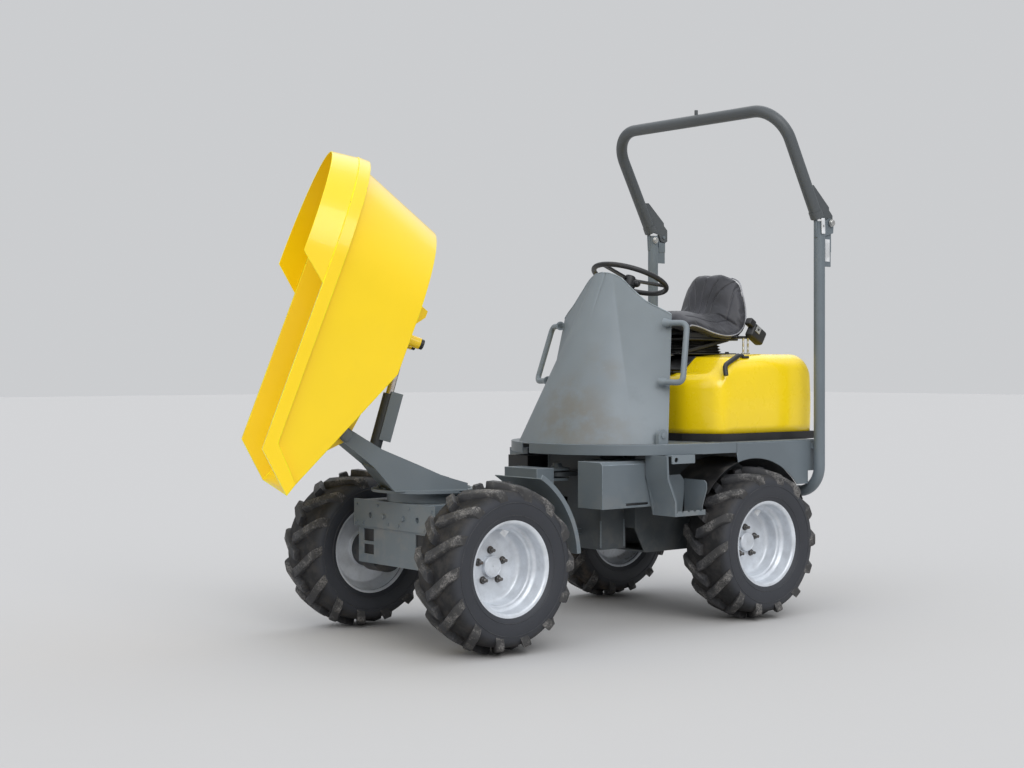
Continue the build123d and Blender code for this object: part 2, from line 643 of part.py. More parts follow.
def step():
    """Left foot step under the deck: a front cheek, a back with a rounded corner and a toothed tread."""
    front_x = STEP_BACK_X + STEP_L
    knee = STEP_BOTTOM + 68
    front = xz_plate([(front_x + 43, DECK_BOTTOM), (front_x + 38, knee + 110), (front_x - 12, knee),
                      (front_x - 12, STEP_BOTTOM), (front_x, STEP_BOTTOM), (front_x, knee),
                      (front_x + 50, knee + 110), (front_x + 55, DECK_BOTTOM)], STEP_INNER_Y + 6, STEP_OUTER_Y)
    back = xz_plate([(front_x, STEP_BOTTOM), (front_x + 44, STEP_BACK_TOP), (STEP_BACK_X + 24, STEP_BACK_TOP),
                     (STEP_BACK_X - 8, STEP_BACK_TOP - 34), (STEP_BACK_X + 12, STEP_BOTTOM)],
                    STEP_INNER_Y, STEP_INNER_Y + STEP_T)
    tread = block((STEP_BACK_X, front_x), (STEP_INNER_Y + 5, STEP_OUTER_Y), (STEP_BOTTOM, STEP_BOTTOM + STEP_T))
    pitch = (front_x - STEP_BACK_X) / STEP_TEETH
    top = STEP_BOTTOM + STEP_LIP_H
    edge = [(front_x, STEP_BOTTOM), (STEP_BACK_X, STEP_BOTTOM)]
    for k in range(STEP_TEETH):
        x = STEP_BACK_X + k * pitch
        edge += [(x, top), (x + pitch * 0.4, top), (x + pitch * 0.7, top - 10)]
    lip = xz_plate(edge + [(front_x, top)], STEP_OUTER_Y - STEP_T, STEP_OUTER_Y)
    return fuse(front, back, tread, lip)


def tie_down():
    plate = block((LASH_X + 27 - LASH_L, LASH_X + 27), (LASH_Y - LASH_T / 2, LASH_Y + LASH_T / 2),
                  (LASH_Z - 18, DECK_BOTTOM))
    flange = block((LASH_X + 27 - LASH_L, LASH_X + 27), (LASH_Y - LASH_FLANGE, LASH_Y),
                   (DECK_BOTTOM - STEP_T, DECK_BOTTOM))
    return (plate + flange) - disc_y(LASH_X, LASH_Z, LASH_R, LASH_Y - 40, LASH_Y + 40)


def tow_hitch():
    half = HITCH_HALF_W
    body = block((CHASSIS_TAIL_X - HITCH_REACH - 50, CHASSIS_TAIL_X), (-half, half), (HITCH_BOTTOM, HITCH_TOP))
    mouth = block((CHASSIS_TAIL_X - HITCH_REACH - 60, CHASSIS_TAIL_X - 20), (-half - 10, half + 10),
                  (HITCH_BOTTOM + HITCH_T, HITCH_TOP - HITCH_T))
    return (body - mouth) - disc_z(CHASSIS_TAIL_X - HITCH_REACH, 0, HITCH_BORE_R, HITCH_BOTTOM - 10, HITCH_TOP + 10)


for name, shape in (
        ("rear_chassis", rear_chassis()), ("deck", deck()), ("side_plates", both(side_plate())),
        ("engine_block", engine_block()), ("bonnet_sill", sill()), ("rops_posts", both(rops_post())),
        ("rops_hoop", rops_hoop()), ("console", console()), ("grab_handles", grab_handles()),
        ("steering_column", steering_column()), ("steering_wheel", steering_wheel()),
        ("toolbox", toolbox()), ("oil_tank", oil_tank()), ("steps", both(step())),
        ("tie_downs", both(tie_down())), ("tow_hitch", tow_hitch())):
    write(shape, name)


# ---------------------------------------------------------------- bonnet and seat
def bonnet_hull(inset, bottom):
    """The bonnet's outside, or with an inset its hollow."""
    top, low = BONNET_TOP - inset, BONNET_FRONT_TOP - inset
    front, rear, round_off = BONNET_FRONT_X - inset, BONNET_REAR_X + inset, BONNET_ROUND * 0.6
    side = xz_plate([(front, bottom), (front, low - round_off), (front - round_off, low),
                     (BONNET_SLOPE_X + 105, low), (BONNET_SLOPE_X, top - 15), (BONNET_SLOPE_X - 70, top), (rear + 110, top),
                     (rear + 32, top - 28), (rear, top - BONNET_TAIL_DROP), (rear, bottom)], -FAR, FAR)
    half = BONNET_HALF_W - inset
    across = yz_plate([(-half, bottom), (half, bottom), (half, top - BONNET_ROUND), (half - BONNET_ROUND * 0.3, top - 17),
                       (half - BONNET_ROUND, top), (-half + BONNET_ROUND, top), (-half + BONNET_ROUND * 0.3, top - 17),
                       (-half, top - BONNET_ROUND)], -FAR, FAR)
    return (xy_plate(bonnet_plan(inset), bottom, top) & side & across).solid()


def bonnet():
    shell = bonnet_hull(0, BONNET_BOTTOM) - bonnet_hull(BONNET_WALL, BONNET_BOTTOM - 1)
    x, z = BONNET_REAR_X - HINGE_BACK, BONNET_BOTTOM - HINGE_DROP
    inner, outer = HINGE_Y - 14, HINGE_Y - 2
    knuckle = fuse(block((x - 14, BONNET_REAR_X + 2), (inner, outer), (BONNET_BOTTOM + 2, BONNET_BOTTOM + 30)),
                   block((x - 14, x + 14), (inner, outer), (z, BONNET_BOTTOM + 2)), disc_y(x, z, 14, inner, outer))
    knuckle = knuckle - disc_y(x, z, HINGE_PIN_R + PIN_GAP, 0, FAR)
    return fuse(shell, knuckle, mirrored(knuckle))


PAN_TOP = BONNET_TOP + SEAT_PAN_H
CUSHION_TOP = PAN_TOP + RUN_GAP + CUSHION_T


def seat_base():
    plinth = block((SEAT_X - 160, SEAT_X + 190), (-SEAT_HALF_W + 65, SEAT_HALF_W - 65),
                   (BONNET_TOP, BONNET_TOP + PLINTH_H))
    pan = block((SEAT_X - 165, SEAT_X + 200), (-SEAT_HALF_W + 45, SEAT_HALF_W - 45),
                (BONNET_TOP + PLINTH_H - 1, PAN_TOP))
    return fuse(plinth, pan)


def seat_cushion():
    return block((SEAT_X - 170, SEAT_X + 250), (-SEAT_HALF_W, SEAT_HALF_W), (PAN_TOP + RUN_GAP, CUSHION_TOP))


def seat_back():
    z = CUSHION_TOP + RUN_GAP
    front = SEAT_X - 95
    return xz_plate([(front, z), (front - BACK_T, z), (front - BACK_T - BACK_LEAN, z + BACK_H),
                     (front - BACK_LEAN, z + BACK_H)], -SEAT_HALF_W + 10, SEAT_HALF_W - 10)


def belt_reel():
    return block((SEAT_X - 200, SEAT_X - 115), (SEAT_HALF_W + RUN_GAP, SEAT_HALF_W + 50), (PAN_TOP - 15, PAN_TOP + 65))


for name, shape in (("bonnet", bonnet()), ("seat_base", seat_base()), ("seat_cushion", seat_cushion()),
                    ("seat_back", seat_back()), ("belt_reel", belt_reel())):
    write(shape, name)


# ---------------------------------------------------------------- front frame
def front_chassis():
    neck = block((YOKE_X + 15, NECK_END_X + 5), (-NECK_HALF_W, NECK_HALF_W), (FRONT_BOTTOM, FRONT_TOP))
    post = block((YOKE_X, YOKE_X + YOKE_L), (-NECK_HALF_W, NECK_HALF_W), (FRONT_BOTTOM, YOKE_TOP))
    inside = FRONT_HALF_W - FRONT_WALL
    walls = block((NECK_END_X, FRONT_NOSE_X), (-FRONT_HALF_W, FRONT_HALF_W), (FRONT_BOTTOM, FRONT_TOP))
    walls = walls - block((NECK_END_X + FRONT_WALL, FRONT_NOSE_X - FRONT_WALL), (-inside, inside),
                          (FRONT_BOTTOM - 1, FRONT_TOP - WEB))
    frame = fuse(neck, post, walls)
    for _, z in TONGUES:
        low, high = z - CLEVIS_REACH, z + TONGUE_T + CLEVIS_GAP
        for base in (low, high):
            plate = pivot_lug(base, base + CLEVIS_T, YOKE_X + 5) + disc_z(0, 0, PIVOT_PIN_R + 2, base, base + CLEVIS_T)
            frame = frame + plate
        top = high + CLEVIS_T
        frame = fuse(frame, disc_z(0, 0, PIVOT_PIN_R, low, top), disc_z(0, 0, PIVOT_PIN_R + 10, top, top + 10))
    for z in (STEER_Z - 26, STEER_Z + 16):
        ear = block((STEER_EYE[0] - STEER_EYE_R, STEER_EYE[0] + STEER_EYE_R), (STEER_EYE[1], -NECK_HALF_W + 1), (z, z + 10))
        frame = fuse(frame, ear, disc_z(*STEER_EYE, STEER_EYE_R, z, z + 10))
    return frame - disc_y(HALF_BASE, TYRE_R, AXLE_TUBE_R + PIN_GAP, -400, 400)


def front_plates():
    y, z = PLATE_HOLE
    upper = block((FRONT_NOSE_X, FRONT_NOSE_X + PLATE_T), (-PLATE_HALF_W, PLATE_HALF_W), (PLATE_LOW_Z, FRONT_TOP))
    lower = block((FRONT_NOSE_X, FRONT_NOSE_X + PLATE_T / 2), (-LOWER_HALF_W, LOWER_HALF_W),
                  (LOWER_BOTTOM, PLATE_LOW_Z))
    for side in SIDES:
        upper = upper - rod((FRONT_NOSE_X - 5, side * y, z), (FRONT_NOSE_X + 20, side * y, z), PLATE_HOLE_R)
        for window in ((LOWER_BOTTOM + 40, LOWER_BOTTOM + 85), (LOWER_BOTTOM + 99, PLATE_LOW_Z - 10)):
            lower = lower - block((FRONT_NOSE_X - 5, FRONT_NOSE_X + 20), sorted((side * 160, side * 240)), window)
    return upper + lower


def mudguard():
    """Left guard behind the front wheel: a sheet bent round the tyre with a flange on its outer edge."""
    axis = Axis((HALF_BASE, 0, TYRE_R), (0, -1, 0))
    radius = TYRE_R + ARCH_GAP

    def arc(y_low, y_high, r_in, r_out):
        corners = [Vector(HALF_BASE, y, TYRE_R + r) for y, r in
                   ((y_low, r_in), (y_high, r_in), (y_high, r_out), (y_low, r_out))]
        face = Face(Wire.make_polygon(corners, close=True))
        return Solid.revolve(face.rotate(axis, GUARD_FROM_DEG), GUARD_SPAN_DEG, axis)
    return arc(FRONT_HALF_W, GUARD_OUT_Y, radius, radius + GUARD_SHEET) \
        + arc(GUARD_OUT_Y - GUARD_SHEET, GUARD_OUT_Y, radius, radius + GUARD_FLANGE)


def slew_ring():
    return disc_z(HALF_BASE, 0, SLEW_RING_R, FRONT_TOP, SLEW_RING_TOP) - \
        disc_z(HALF_BASE, 0, SLEW_BORE_R, FRONT_TOP - 1, SLEW_RING_TOP + 1)


for name, shape in (("front_chassis", front_chassis()), ("front_plates", front_plates()),
                    ("mudguards", both(mudguard())), ("slew_ring", slew_ring())):
    write(shape, name)


# ---------------------------------------------------------------- swivel frame
SWIVEL = Pos(HALF_BASE, 0, 0) * Rot(0, 0, SWIVEL_DEG)      # from u, v, z to the machine's frame
PLATE_LOW = SLEW_RING_TOP + RUN_GAP
PLATE_HIGH = PLATE_LOW + TURNTABLE_T


def tip_frame():
    """Turntable with two arms up to the tip pivot, a closing plate between them, and the pins."""
    pu, pz = TIP_PIVOT
    gap = ARM_Y - ARM_T
    arm = xz_plate([(-160, PLATE_HIGH), (168, PLATE_HIGH), (250, pz - 151), (pu + 22, pz - 22), (pu - 8, pz + 29),
                    (225, pz - 65), (61, pz - 136), (-50, pz - 186), (-160, pz - 219)], gap, ARM_Y)
    arm = arm + disc_y(pu, pz, 30, gap, ARM_Y)
    closing = xz_plate([(158, PLATE_HIGH), (170, PLATE_HIGH), (252, pz - 151), (240, pz - 147)], -gap - 1, gap + 1)
    pin = disc_y(pu, pz, TIP_PIN_R, -ARM_Y - 14, ARM_Y + 14)
    fu, fz = CYL_FOOT
    ear = xz_plate([(fu - 130, PLATE_HIGH), (fu - 72, PLATE_HIGH), (fu + 22, fz + 4), (fu - 22, fz + 14)],
                   CYL_EAR_Y, CYL_EAR_Y + WEB)
    ear = ear + disc_y(fu, fz, 24, CYL_EAR_Y, CYL_EAR_Y + WEB)
    foot_pin = disc_y(fu, fz, CYL_PIN_R, -CYL_EAR_Y - 16, CYL_EAR_Y + 16)
    turntable = disc_z(0, 0, TURNTABLE_R, PLATE_LOW, PLATE_HIGH)
    return fuse(turntable, arm, mirrored(arm), closing, pin, ear, mirrored(ear), foot_pin)


def cylinder_axis():
    (fu, fz), (eu, ez) = CYL_FOOT, CYL_EYE
    return Vector(eu - fu, 0, ez - fz).normalized(), hypot(eu - fu, ez - fz)


def tip_barrel():
    along, _ = cylinder_axis()
    foot = Vector(CYL_FOOT[0], 0, CYL_FOOT[1])
    eye = disc_y(*CYL_FOOT, 23, -CYL_EAR_Y + 3, CYL_EAR_Y - 3)
    end = BARREL_NECK + BARREL_L
    tube = rod(foot + along * BARREL_NECK, foot + along * end, CYL_R)
    bore = rod(foot + along * (BARREL_NECK * 2), foot + along * (end + 10), ROD_R + PIN_GAP)
    return (eye + tube - disc_y(*CYL_FOOT, CYL_PIN_R + PIN_GAP, -CYL_EAR_Y, CYL_EAR_Y)) - bore


def barrel_guard():
    """Steel channel along the back of the tip cylinder, on two saddles."""
    along, _ = cylinder_axis()
    face = Plane(origin=(CYL_FOOT[0], 0, CYL_FOOT[1]), x_dir=(0, 1, 0), z_dir=along)
    half, back, wall = GUARD_CHANNEL_W / 2, CYL_R * 2, 5
    low, high = GUARD_CHANNEL_FROM, GUARD_CHANNEL_FROM + GUARD_CHANNEL_L
    channel = block((-half, half), (2, back), (low, high)) \
        - block((-half + wall, half - wall), (1, back - wall), (low - 1, high + 1))
    for z in (low + 15, high - 60):
        channel = channel + block((-half + wall - 1, half - wall + 1), (CYL_R / 2, back - wall + 1), (z, z + WEB))
    return face * (channel - disc_z(0, 0, CYL_R, 0, FAR))


def tip_rod():
    along, length = cylinder_axis()
    foot = Vector(CYL_FOOT[0], 0, CYL_FOOT[1])
    return rod(foot + along * ROD_TAIL, foot + along * length, ROD_R) + disc_y(*CYL_EYE, 25, -18.5, 18.5)


for name, shape in (("tip_frame", tip_frame()), ("tip_barrel", tip_barrel()), ("barrel_guard", barrel_guard()),
                    ("tip_rod", tip_rod())):
    write(SWIVEL * shape, name)


# ---------------------------------------------------------------- skip
SKIP = SWIVEL * Pos(TIP_PIVOT[0], 0, TIP_PIVOT[1]) * Rot(0, TIP_DEG, 0)
BODY_HALF_W = SKIP_HALF_W - BAND_PROUD
BODY_REAR_U = SKIP_REAR_U + BAND_PROUD


def d_outline(w, half, rear):
    """Plan of the tub at height w: straight sides and a round rear."""
    centre, front = rear + half, LIP[0] + SKIP_HALF_W
    arc = ThreePointArc((centre, half, w), (rear, 0, w), (centre, -half, w))
    rest = Polyline((centre, -half, w), (front, -half, w), (front, half, w), (centre, half, w))
    return Wire([*arc.edges(), *rest.edges()])


def tub_loft(inset, spare):
    """The tub's body between its floor and its rim, longer by spare at each end, front not yet cut."""
    height = RIM_W_TOP - FLOOR_W
    slope_half = (BODY_HALF_W - FLOOR_HALF_W) / height
    slope_rear = (FLOOR_REAR_U - BODY_REAR_U) / height

    def at(w):
        down = RIM_W_TOP - w
        return d_outline(w, BODY_HALF_W - inset - slope_half * down, BODY_REAR_U + inset + slope_rear * down)
    return Solid.make_loft([at(FLOOR_W - spare), at(RIM_W_TOP + spare)], ruled=True)


def side_profile(inset, reach):
    """Side view of the tub: floor, ramp and front edge; inset lifts floor and ramp by the plate."""
    ramp = atan2(LIP[1] - FLOOR_W, LIP[0] - RAMP_FOOT_U)
    lift = inset / cos(ramp)
    return [(-FAR, FLOOR_W + inset), (RAMP_FOOT_U - inset * tan(ramp / 2), FLOOR_W + inset),
            (LIP[0] + reach * cos(ramp), LIP[1] + lift + reach * sin(ramp)),
            (RIM_NOSE_U + 2 * reach, RIM_W_TOP + reach), (-FAR, RIM_W_TOP + reach)]


def rim_band():
    ring = Solid.extrude(Face(d_outline(RIM_W_TOP - BAND_H, SKIP_HALF_W, SKIP_REAR_U)), Vector(0, 0, BAND_H))
    hollow = Solid.extrude(Face(d_outline(RIM_W_TOP - BAND_H - 1, BODY_HALF_W - SKIP_T, BODY_REAR_U + SKIP_T)),
                           Vector(0, 0, BAND_H + 2))
    front = atan2(RIM_W_TOP - LIP[1], LIP[0] - RIM_NOSE_U)
    slant = xz_plate([(-FAR, 0), (LIP[0] + LIP[1] / tan(front), 0), (RIM_NOSE_U, RIM_W_TOP), (-FAR, RIM_W_TOP)],
                     -FAR, FAR)
    edge = xz_plate([(RIM_NOSE_U, RIM_W_TOP), LIP, (LIP[0] - BAND_H * 1.05, LIP[1] - BAND_H * 0.35),
                     (RIM_NOSE_U - BAND_H * 0.8, RIM_W_TOP - BAND_H), (RIM_NOSE_U - BAND_H * 0.8, RIM_W_TOP)],
                    BODY_HALF_W - SKIP_T, SKIP_HALF_W)
    return fuse((ring - hollow) & slant, edge, mirrored(edge))


def skip_tub():
    outer = tub_loft(0, 0) & xz_plate(side_profile(0, 0), -FAR, FAR)
    inner = tub_loft(SKIP_T, 20) & xz_plate(side_profile(SKIP_T, 60), -FAR, FAR)
    return (outer + rim_band()) - inner


def spill_guard():
    """High guard round the tub's rear half, leaning in a little at its top."""
    height = GUARD_TOP_W - RIM_W_TOP

    def wall(inset, spare):
        def at(share):
            lean = inset + GUARD_LEAN * share
            return d_outline(RIM_W_TOP + height * share, SKIP_HALF_W - 3 - lean, SKIP_REAR_U + 3 + lean)
        return Solid.make_loft([at(-spare), at(1 + spare)], ruled=True)
    keep = xz_plate([(-FAR, RIM_W_TOP), (GUARD_FOOT_U, RIM_W_TOP), (GUARD_CORNER_U, GUARD_TOP_W), (-FAR, GUARD_TOP_W)],
                    -FAR, FAR)
    return (wall(0, 0) - wall(GUARD_T, 0.1)) & keep


def skip_hinges():
    """Gussets at the tip pivot, ears for the cylinder's eye, two rest buffers and two catch plates."""
    ramp = atan2(LIP[1] - FLOOR_W, LIP[0] - RAMP_FOOT_U)

    def under(u):
        return FLOOR_W + (u - RAMP_FOOT_U) * tan(ramp)
    back, front = GUSSET
    gusset = xz_plate([(back, under(back)), (front, under(front)), (28, -12), (-20, -22)], GUSSET_Y, GUSSET_Y + WEB)
    gusset = gusset + disc_y(0, 0, 28, GUSSET_Y, GUSSET_Y + WEB)
    gusset = gusset - disc_y(0, 0, TIP_PIN_R + PIN_GAP, GUSSET_Y - 50, GUSSET_Y + 50)
    du, dz = CYL_EYE[0] - TIP_PIVOT[0], CYL_EYE[1] - TIP_PIVOT[1]
    t = radians(TIP_DEG)
    eu, ew = du * cos(t) - dz * sin(t), du * sin(t) + dz * cos(t)
    ear = xz_plate([(eu - 75, FLOOR_W), (eu + 75, FLOOR_W), (eu + 24, ew - 14), (eu - 24, ew - 14)], 20, 20 + WEB)
    ear = ear + disc_y(eu, ew, 27, 20, 20 + WEB)
    bu, bv, drop = BUFFER
    buffer = disc_z(bu, bv, 26, FLOOR_W - drop, FLOOR_W)
    cu, cv = CATCH
    catch = xz_plate([(cu - 40, FLOOR_W), (cu + 50, FLOOR_W), (cu + 50, FLOOR_W - 60), (cu + 10, FLOOR_W - 90),
                      (cu - 20, FLOOR_W - 90), (cu - 40, FLOOR_W - 40)], cv - WEB / 2, cv + WEB / 2)
    halves = [gusset, ear, buffer, catch]
    return Compound(children=[solid for half in halves for solid in (*half.solids(), *mirrored(half).solids())])


for name, shape in (("skip_tub", skip_tub()), ("spill_guard", spill_guard()), ("skip_hinges", skip_hinges())):
    write(SKIP * shape, name)


# ---------------------------------------------------------------- steering cylinder
def steer_parts():
    """Barrel and rod of the steering cylinder, which lies level on the right of the pivot."""
    foot = Vector(*STEER_FOOT, STEER_Z)
    eye = Vector(*STEER_EYE, STEER_Z)
    along = (eye - foot).normalized()
    end = 34 + STEER_BARREL_L
    barrel = rod(foot + along * 34, foot + along * end, STEER_R) + rod(foot + along * 12, foot + along * 35, 13)
    barrel = barrel + disc_z(*STEER_FOOT, STEER_R - 2, STEER_Z - 14, STEER_Z + 14)
    barrel = barrel - rod(foot + along * 50, foot + along * (end + 10), STEER_ROD_R + PIN_GAP)
    barrel = barrel - disc_z(*STEER_FOOT, STEER_PIN_R + PIN_GAP, STEER_Z - 30, STEER_Z + 30)
    eye_ring = disc_z(*STEER_EYE, STEER_EYE_R, STEER_Z - 14, STEER_Z + 14)
    return barrel, rod(foot + along * 250, eye, STEER_ROD_R) + eye_ring


for name, shape in zip(("steer_barrel", "steer_rod"), steer_parts()):
    write(shape, name)
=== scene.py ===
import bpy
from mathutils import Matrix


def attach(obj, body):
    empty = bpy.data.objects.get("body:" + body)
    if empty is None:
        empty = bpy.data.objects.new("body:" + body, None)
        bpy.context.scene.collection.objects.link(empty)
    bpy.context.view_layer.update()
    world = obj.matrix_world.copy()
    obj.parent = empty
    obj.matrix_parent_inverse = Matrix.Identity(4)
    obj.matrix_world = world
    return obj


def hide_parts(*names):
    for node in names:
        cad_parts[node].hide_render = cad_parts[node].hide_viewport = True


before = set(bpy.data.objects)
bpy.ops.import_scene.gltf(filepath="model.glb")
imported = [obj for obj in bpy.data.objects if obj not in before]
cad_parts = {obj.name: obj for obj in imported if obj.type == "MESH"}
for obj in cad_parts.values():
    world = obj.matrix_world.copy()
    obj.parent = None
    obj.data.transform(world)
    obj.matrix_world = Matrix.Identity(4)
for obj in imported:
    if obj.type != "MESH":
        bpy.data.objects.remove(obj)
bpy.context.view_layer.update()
from math import cos, pi, radians, sin

import bmesh
import bpy
import numpy as np
from mathutils import Vector

SCENE = bpy.context.scene

# metres: X forward, Y to the machine's left, Z up from the ground, origin under the steering pivot
HALF_BASE, WHEEL_Y, TYRE_R = 0.800, 0.515, 0.370
SWIVEL, TIP = radians(-25.2), radians(70.0)
TIP_U, TIP_Z = 0.382, 0.931
DECK_TOP, BONNET_LOW, POST_Y = 0.862, 0.900, 0.595
BOTH = (1, -1)


# ---------------------------------------------------------------- looks
class Socket:
    """A node's output on which sums, differences and products add Math nodes."""

    def __init__(self, look, socket):
        self.look, self.socket = look, socket

    def maths(self, how, *others, swap=False):
        values = (self, *others)
        return self.look.node("ShaderNodeMath", {"operation": how}, *(reversed(values) if swap else values))

    def __add__(self, other):
        return self.maths("ADD", other)

    def __sub__(self, other):
        return self.maths("SUBTRACT", other)

    def __rsub__(self, other):
        return self.maths("SUBTRACT", other, swap=True)

    def __mul__(self, other):
        return self.maths("MULTIPLY", other)

    def most(self, other):
        return self.maths("MAXIMUM", other)

    def least(self, other):
        return self.maths("MINIMUM", other)

    def ramp(self, low, high):
        """0 below low, 1 above high, smooth between; falls instead where low is the larger."""
        smooth = {"interpolation_type": "SMOOTHSTEP"}
        return self.look.node("ShaderNodeMapRange", smooth, self, low, high, 0.0, 1.0)

    __radd__, __rmul__ = __add__, __mul__


class Look:
    """One material: a Principled shader and the few patterns that feed it."""

    def __init__(self, name, roughness=0.5, metallic=0.0, coat=0.0, sheen=0.0):
        self.material = bpy.data.materials.new(name)
        self.material.use_nodes = True
        self.tree = self.material.node_tree
        self.shader = self.tree.nodes["Principled BSDF"]
        for key, value in (("Roughness", roughness), ("Metallic", metallic), ("Coat Weight", coat),
                           ("Coat Roughness", 0.08), ("Sheen Weight", sheen)):
            self.shader.inputs[key].default_value = value
        self.place = self.node("ShaderNodeTexCoord", {}, out="Object")
        self.height = self.split(self.place)[2]

    def feed(self, socket, value):
        """Link a node's output to the socket, or set the number or colour on it."""
        if isinstance(value, Socket):
            self.tree.links.new(value.socket, socket)
        else:
            socket.default_value = value

    def node(self, kind, settings, *inputs, out=0, at=None, **named):
        """Any node: its settings first, then its inputs by place or by name, then one of its outputs."""
        node = self.tree.nodes.new(kind)
        for key, value in settings.items():
            setattr(node, key, value)
        for key, value in (*enumerate(inputs), *(at or {}).items(), *named.items()):
            self.feed(node.inputs[key if isinstance(key, int) else key.replace("_", " ")], value)
        return Socket(self, node.outputs[out])

    def split(self, vector):
        first = self.node("ShaderNodeSeparateXYZ", {}, vector)
        outputs = first.socket.node.outputs
        return [Socket(self, outputs[k]) for k in range(3)]

    def noise(self, scale, detail=3.0, rough=0.55, stretch=None):
        """Cloudy pattern from 0 to 1 on the object's own coordinates, drawn out by stretch."""
        place = self.place
        if stretch:
            place = self.node("ShaderNodeMapping", {}, place, Scale=stretch)
        return self.node("ShaderNodeTexNoise", {}, place, Scale=scale, Detail=detail, Roughness=rough)

    def mix(self, one, two, share):
        """Colour one where share is 0 and colour two where it is 1."""
        one, two = ((*colour, 1.0) if isinstance(colour, tuple) else colour for colour in (one, two))
        return self.node("ShaderNodeMix", {"data_type": "RGBA"}, out=2, at={0: share, 6: one, 7: two})

    def near(self, centre, radius, fade):
        """1 inside a ball about centre, fading to 0 outside it."""
        off = self.node("ShaderNodeVectorMath", {"operation": "DISTANCE"}, self.place, centre, out=1)
        return off.ramp(radius + fade, radius)

    def upward(self):
        """How far a surface faces up, 0 to 1."""
        normal = self.node("ShaderNodeNewGeometry", {}, out="Normal")
        return self.split(normal)[2].ramp(0.3, 0.95)

    def mark(self, name):
        """A value written on the mesh's points."""
        return self.node("ShaderNodeAttribute", {"attribute_name": name}, out="Fac")

    def finish(self, colour, roughness, bump, strength, distance, metallic=None):
        """Feed the shader; the bump's height is taken at distance metres, times strength."""
        self.feed(self.shader.inputs["Base Color"], colour)
        self.feed(self.shader.inputs["Roughness"], roughness)
        if metallic is not None:
            self.feed(self.shader.inputs["Metallic"], metallic)
        normal = self.node("ShaderNodeBump", {}, Strength=strength, Distance=distance, Height=bump)
        self.feed(self.shader.inputs["Normal"], normal)
        return self.material


def shade(colour, factor):
    """The colour made paler or darker, kept at 1 or below."""
    return tuple(min(1.0, c * factor) for c in colour)


DUST, SOIL, DRY_SOIL = (0.33, 0.30, 0.26), (0.045, 0.040, 0.035), (0.13, 0.10, 0.072)
RUBBED, RIM_DIRT, RUST = (0.16, 0.145, 0.12), (0.17, 0.145, 0.115), (0.21, 0.09, 0.035)


def paint(name, base, roughness, coat=0.0, dust=0.25, smears=(), scuff=0.25, peel=0.12, low=0.62, mottle=1.0):
    """Sprayed paint: cloudy tone, dust low down and on upward faces, fine scuffs and orange peel.

    smears are (centre, radius, fade, strength) of brown rubbed patches; mottle is how cloudy the tone is;
    low is the height in metres below which dust settles."""
    look = Look(name, roughness, coat=coat)
    broad, cloud, fine = look.noise(2.1, 3.0), look.noise(11.0, 5.0, 0.62), look.noise(95.0, 3.0, 0.6)
    colour = look.mix(shade(base, 1 - 0.07 * mottle), shade(base, 1 + 0.06 * mottle), broad.ramp(0.36, 0.64))
    colour = look.mix(colour, shade(base, 0.86), cloud.ramp(0.55, 0.78) * (0.45 * mottle))
    for centre, radius, fade, strength in smears:
        patch = look.near(centre, radius, fade) * cloud.ramp(0.3, 0.62) * strength
        colour = look.mix(colour, RUBBED, patch)
    sunk = look.height.ramp(low, low - 0.35) * cloud.ramp(0.42, 0.66)
    dusty = sunk.most(look.upward() * cloud.ramp(0.4, 0.7) * 0.7) * dust
    colour = look.mix(colour, DUST, dusty)
    drawn = look.noise(9.0, 5.0, 0.7, stretch=(1.0, 1.0, 7.0))
    scuffs = drawn.ramp(0.66, 0.72) * look.noise(160.0, 2.0).ramp(0.5, 0.62) * scuff
    colour = look.mix(colour, shade(base, 1.75), scuffs)
    rough = broad * 0.06 + cloud * 0.08 + dusty * 0.45 + scuffs * 0.3 + (roughness - 0.07)
    return look.finish(colour, rough.least(0.95), fine, peel, 0.0006)


def edge_highlight_and_wear(name, base, metal):
    """The paint on a sheet's edge: paler all along as a painted highlight, and in places worn through to bare
    metal.
    """
    look = Look(name, 0.42)
    cloud, chips = look.noise(14.0, 4.0, 0.6), look.noise(60.0, 4.0, 0.65)
    # painted highlight: the edge colour runs from 1.12 to 1.6 times the paint's own; the bare chips below are
    # wear
    colour = look.mix(shade(base, 1.12), shade(base, 1.6), cloud.ramp(0.35, 0.65))
    bare = chips.ramp(0.6, 0.66) * cloud.ramp(0.4, 0.6)
    return look.finish(look.mix(colour, metal, bare), 0.5 - bare * 0.1, chips, 0.15, 0.0008)


def rubber(name, soil):
    """Tread rubber: charcoal, dusty on its worn edges, with soil between the lugs, and a painted sky sheen on
    its sidewalls.
    """
    look = Look(name, 0.75)
    wear, hollow = look.mark("wear"), look.mark("hollow")
    cloud, fine = look.noise(16.0, 5.0, 0.65), look.noise(130.0, 4.0, 0.7)
    colour = look.mix((0.010, 0.010, 0.011), (0.019, 0.019, 0.021), cloud.ramp(0.35, 0.68))
    # painted reflection: away from the lugs and their hollows, the sidewalls turn paler and bluish, as if lit
    # by the sky
    colour = look.mix(colour, (0.036, 0.039, 0.048), (1.0 - hollow) * (1.0 - wear) * 0.75)
    colour = look.mix(colour, soil, hollow * cloud.ramp(0.42, 0.66) * 0.6)
    colour = look.mix(colour, (0.046, 0.045, 0.045), wear)
    colour = look.mix(colour, (0.20, 0.190, 0.180), wear * cloud.ramp(0.44, 0.62) * fine.ramp(0.38, 0.6))
    colour = look.mix(colour, (0.16, 0.15, 0.14), fine.ramp(0.70, 0.80) * 0.2)
    rough = 0.46 + cloud * 0.15 + wear * 0.3 + hollow * 0.25
    return look.finish(colour, rough, fine + cloud * 1.5, 0.35, 0.0018)


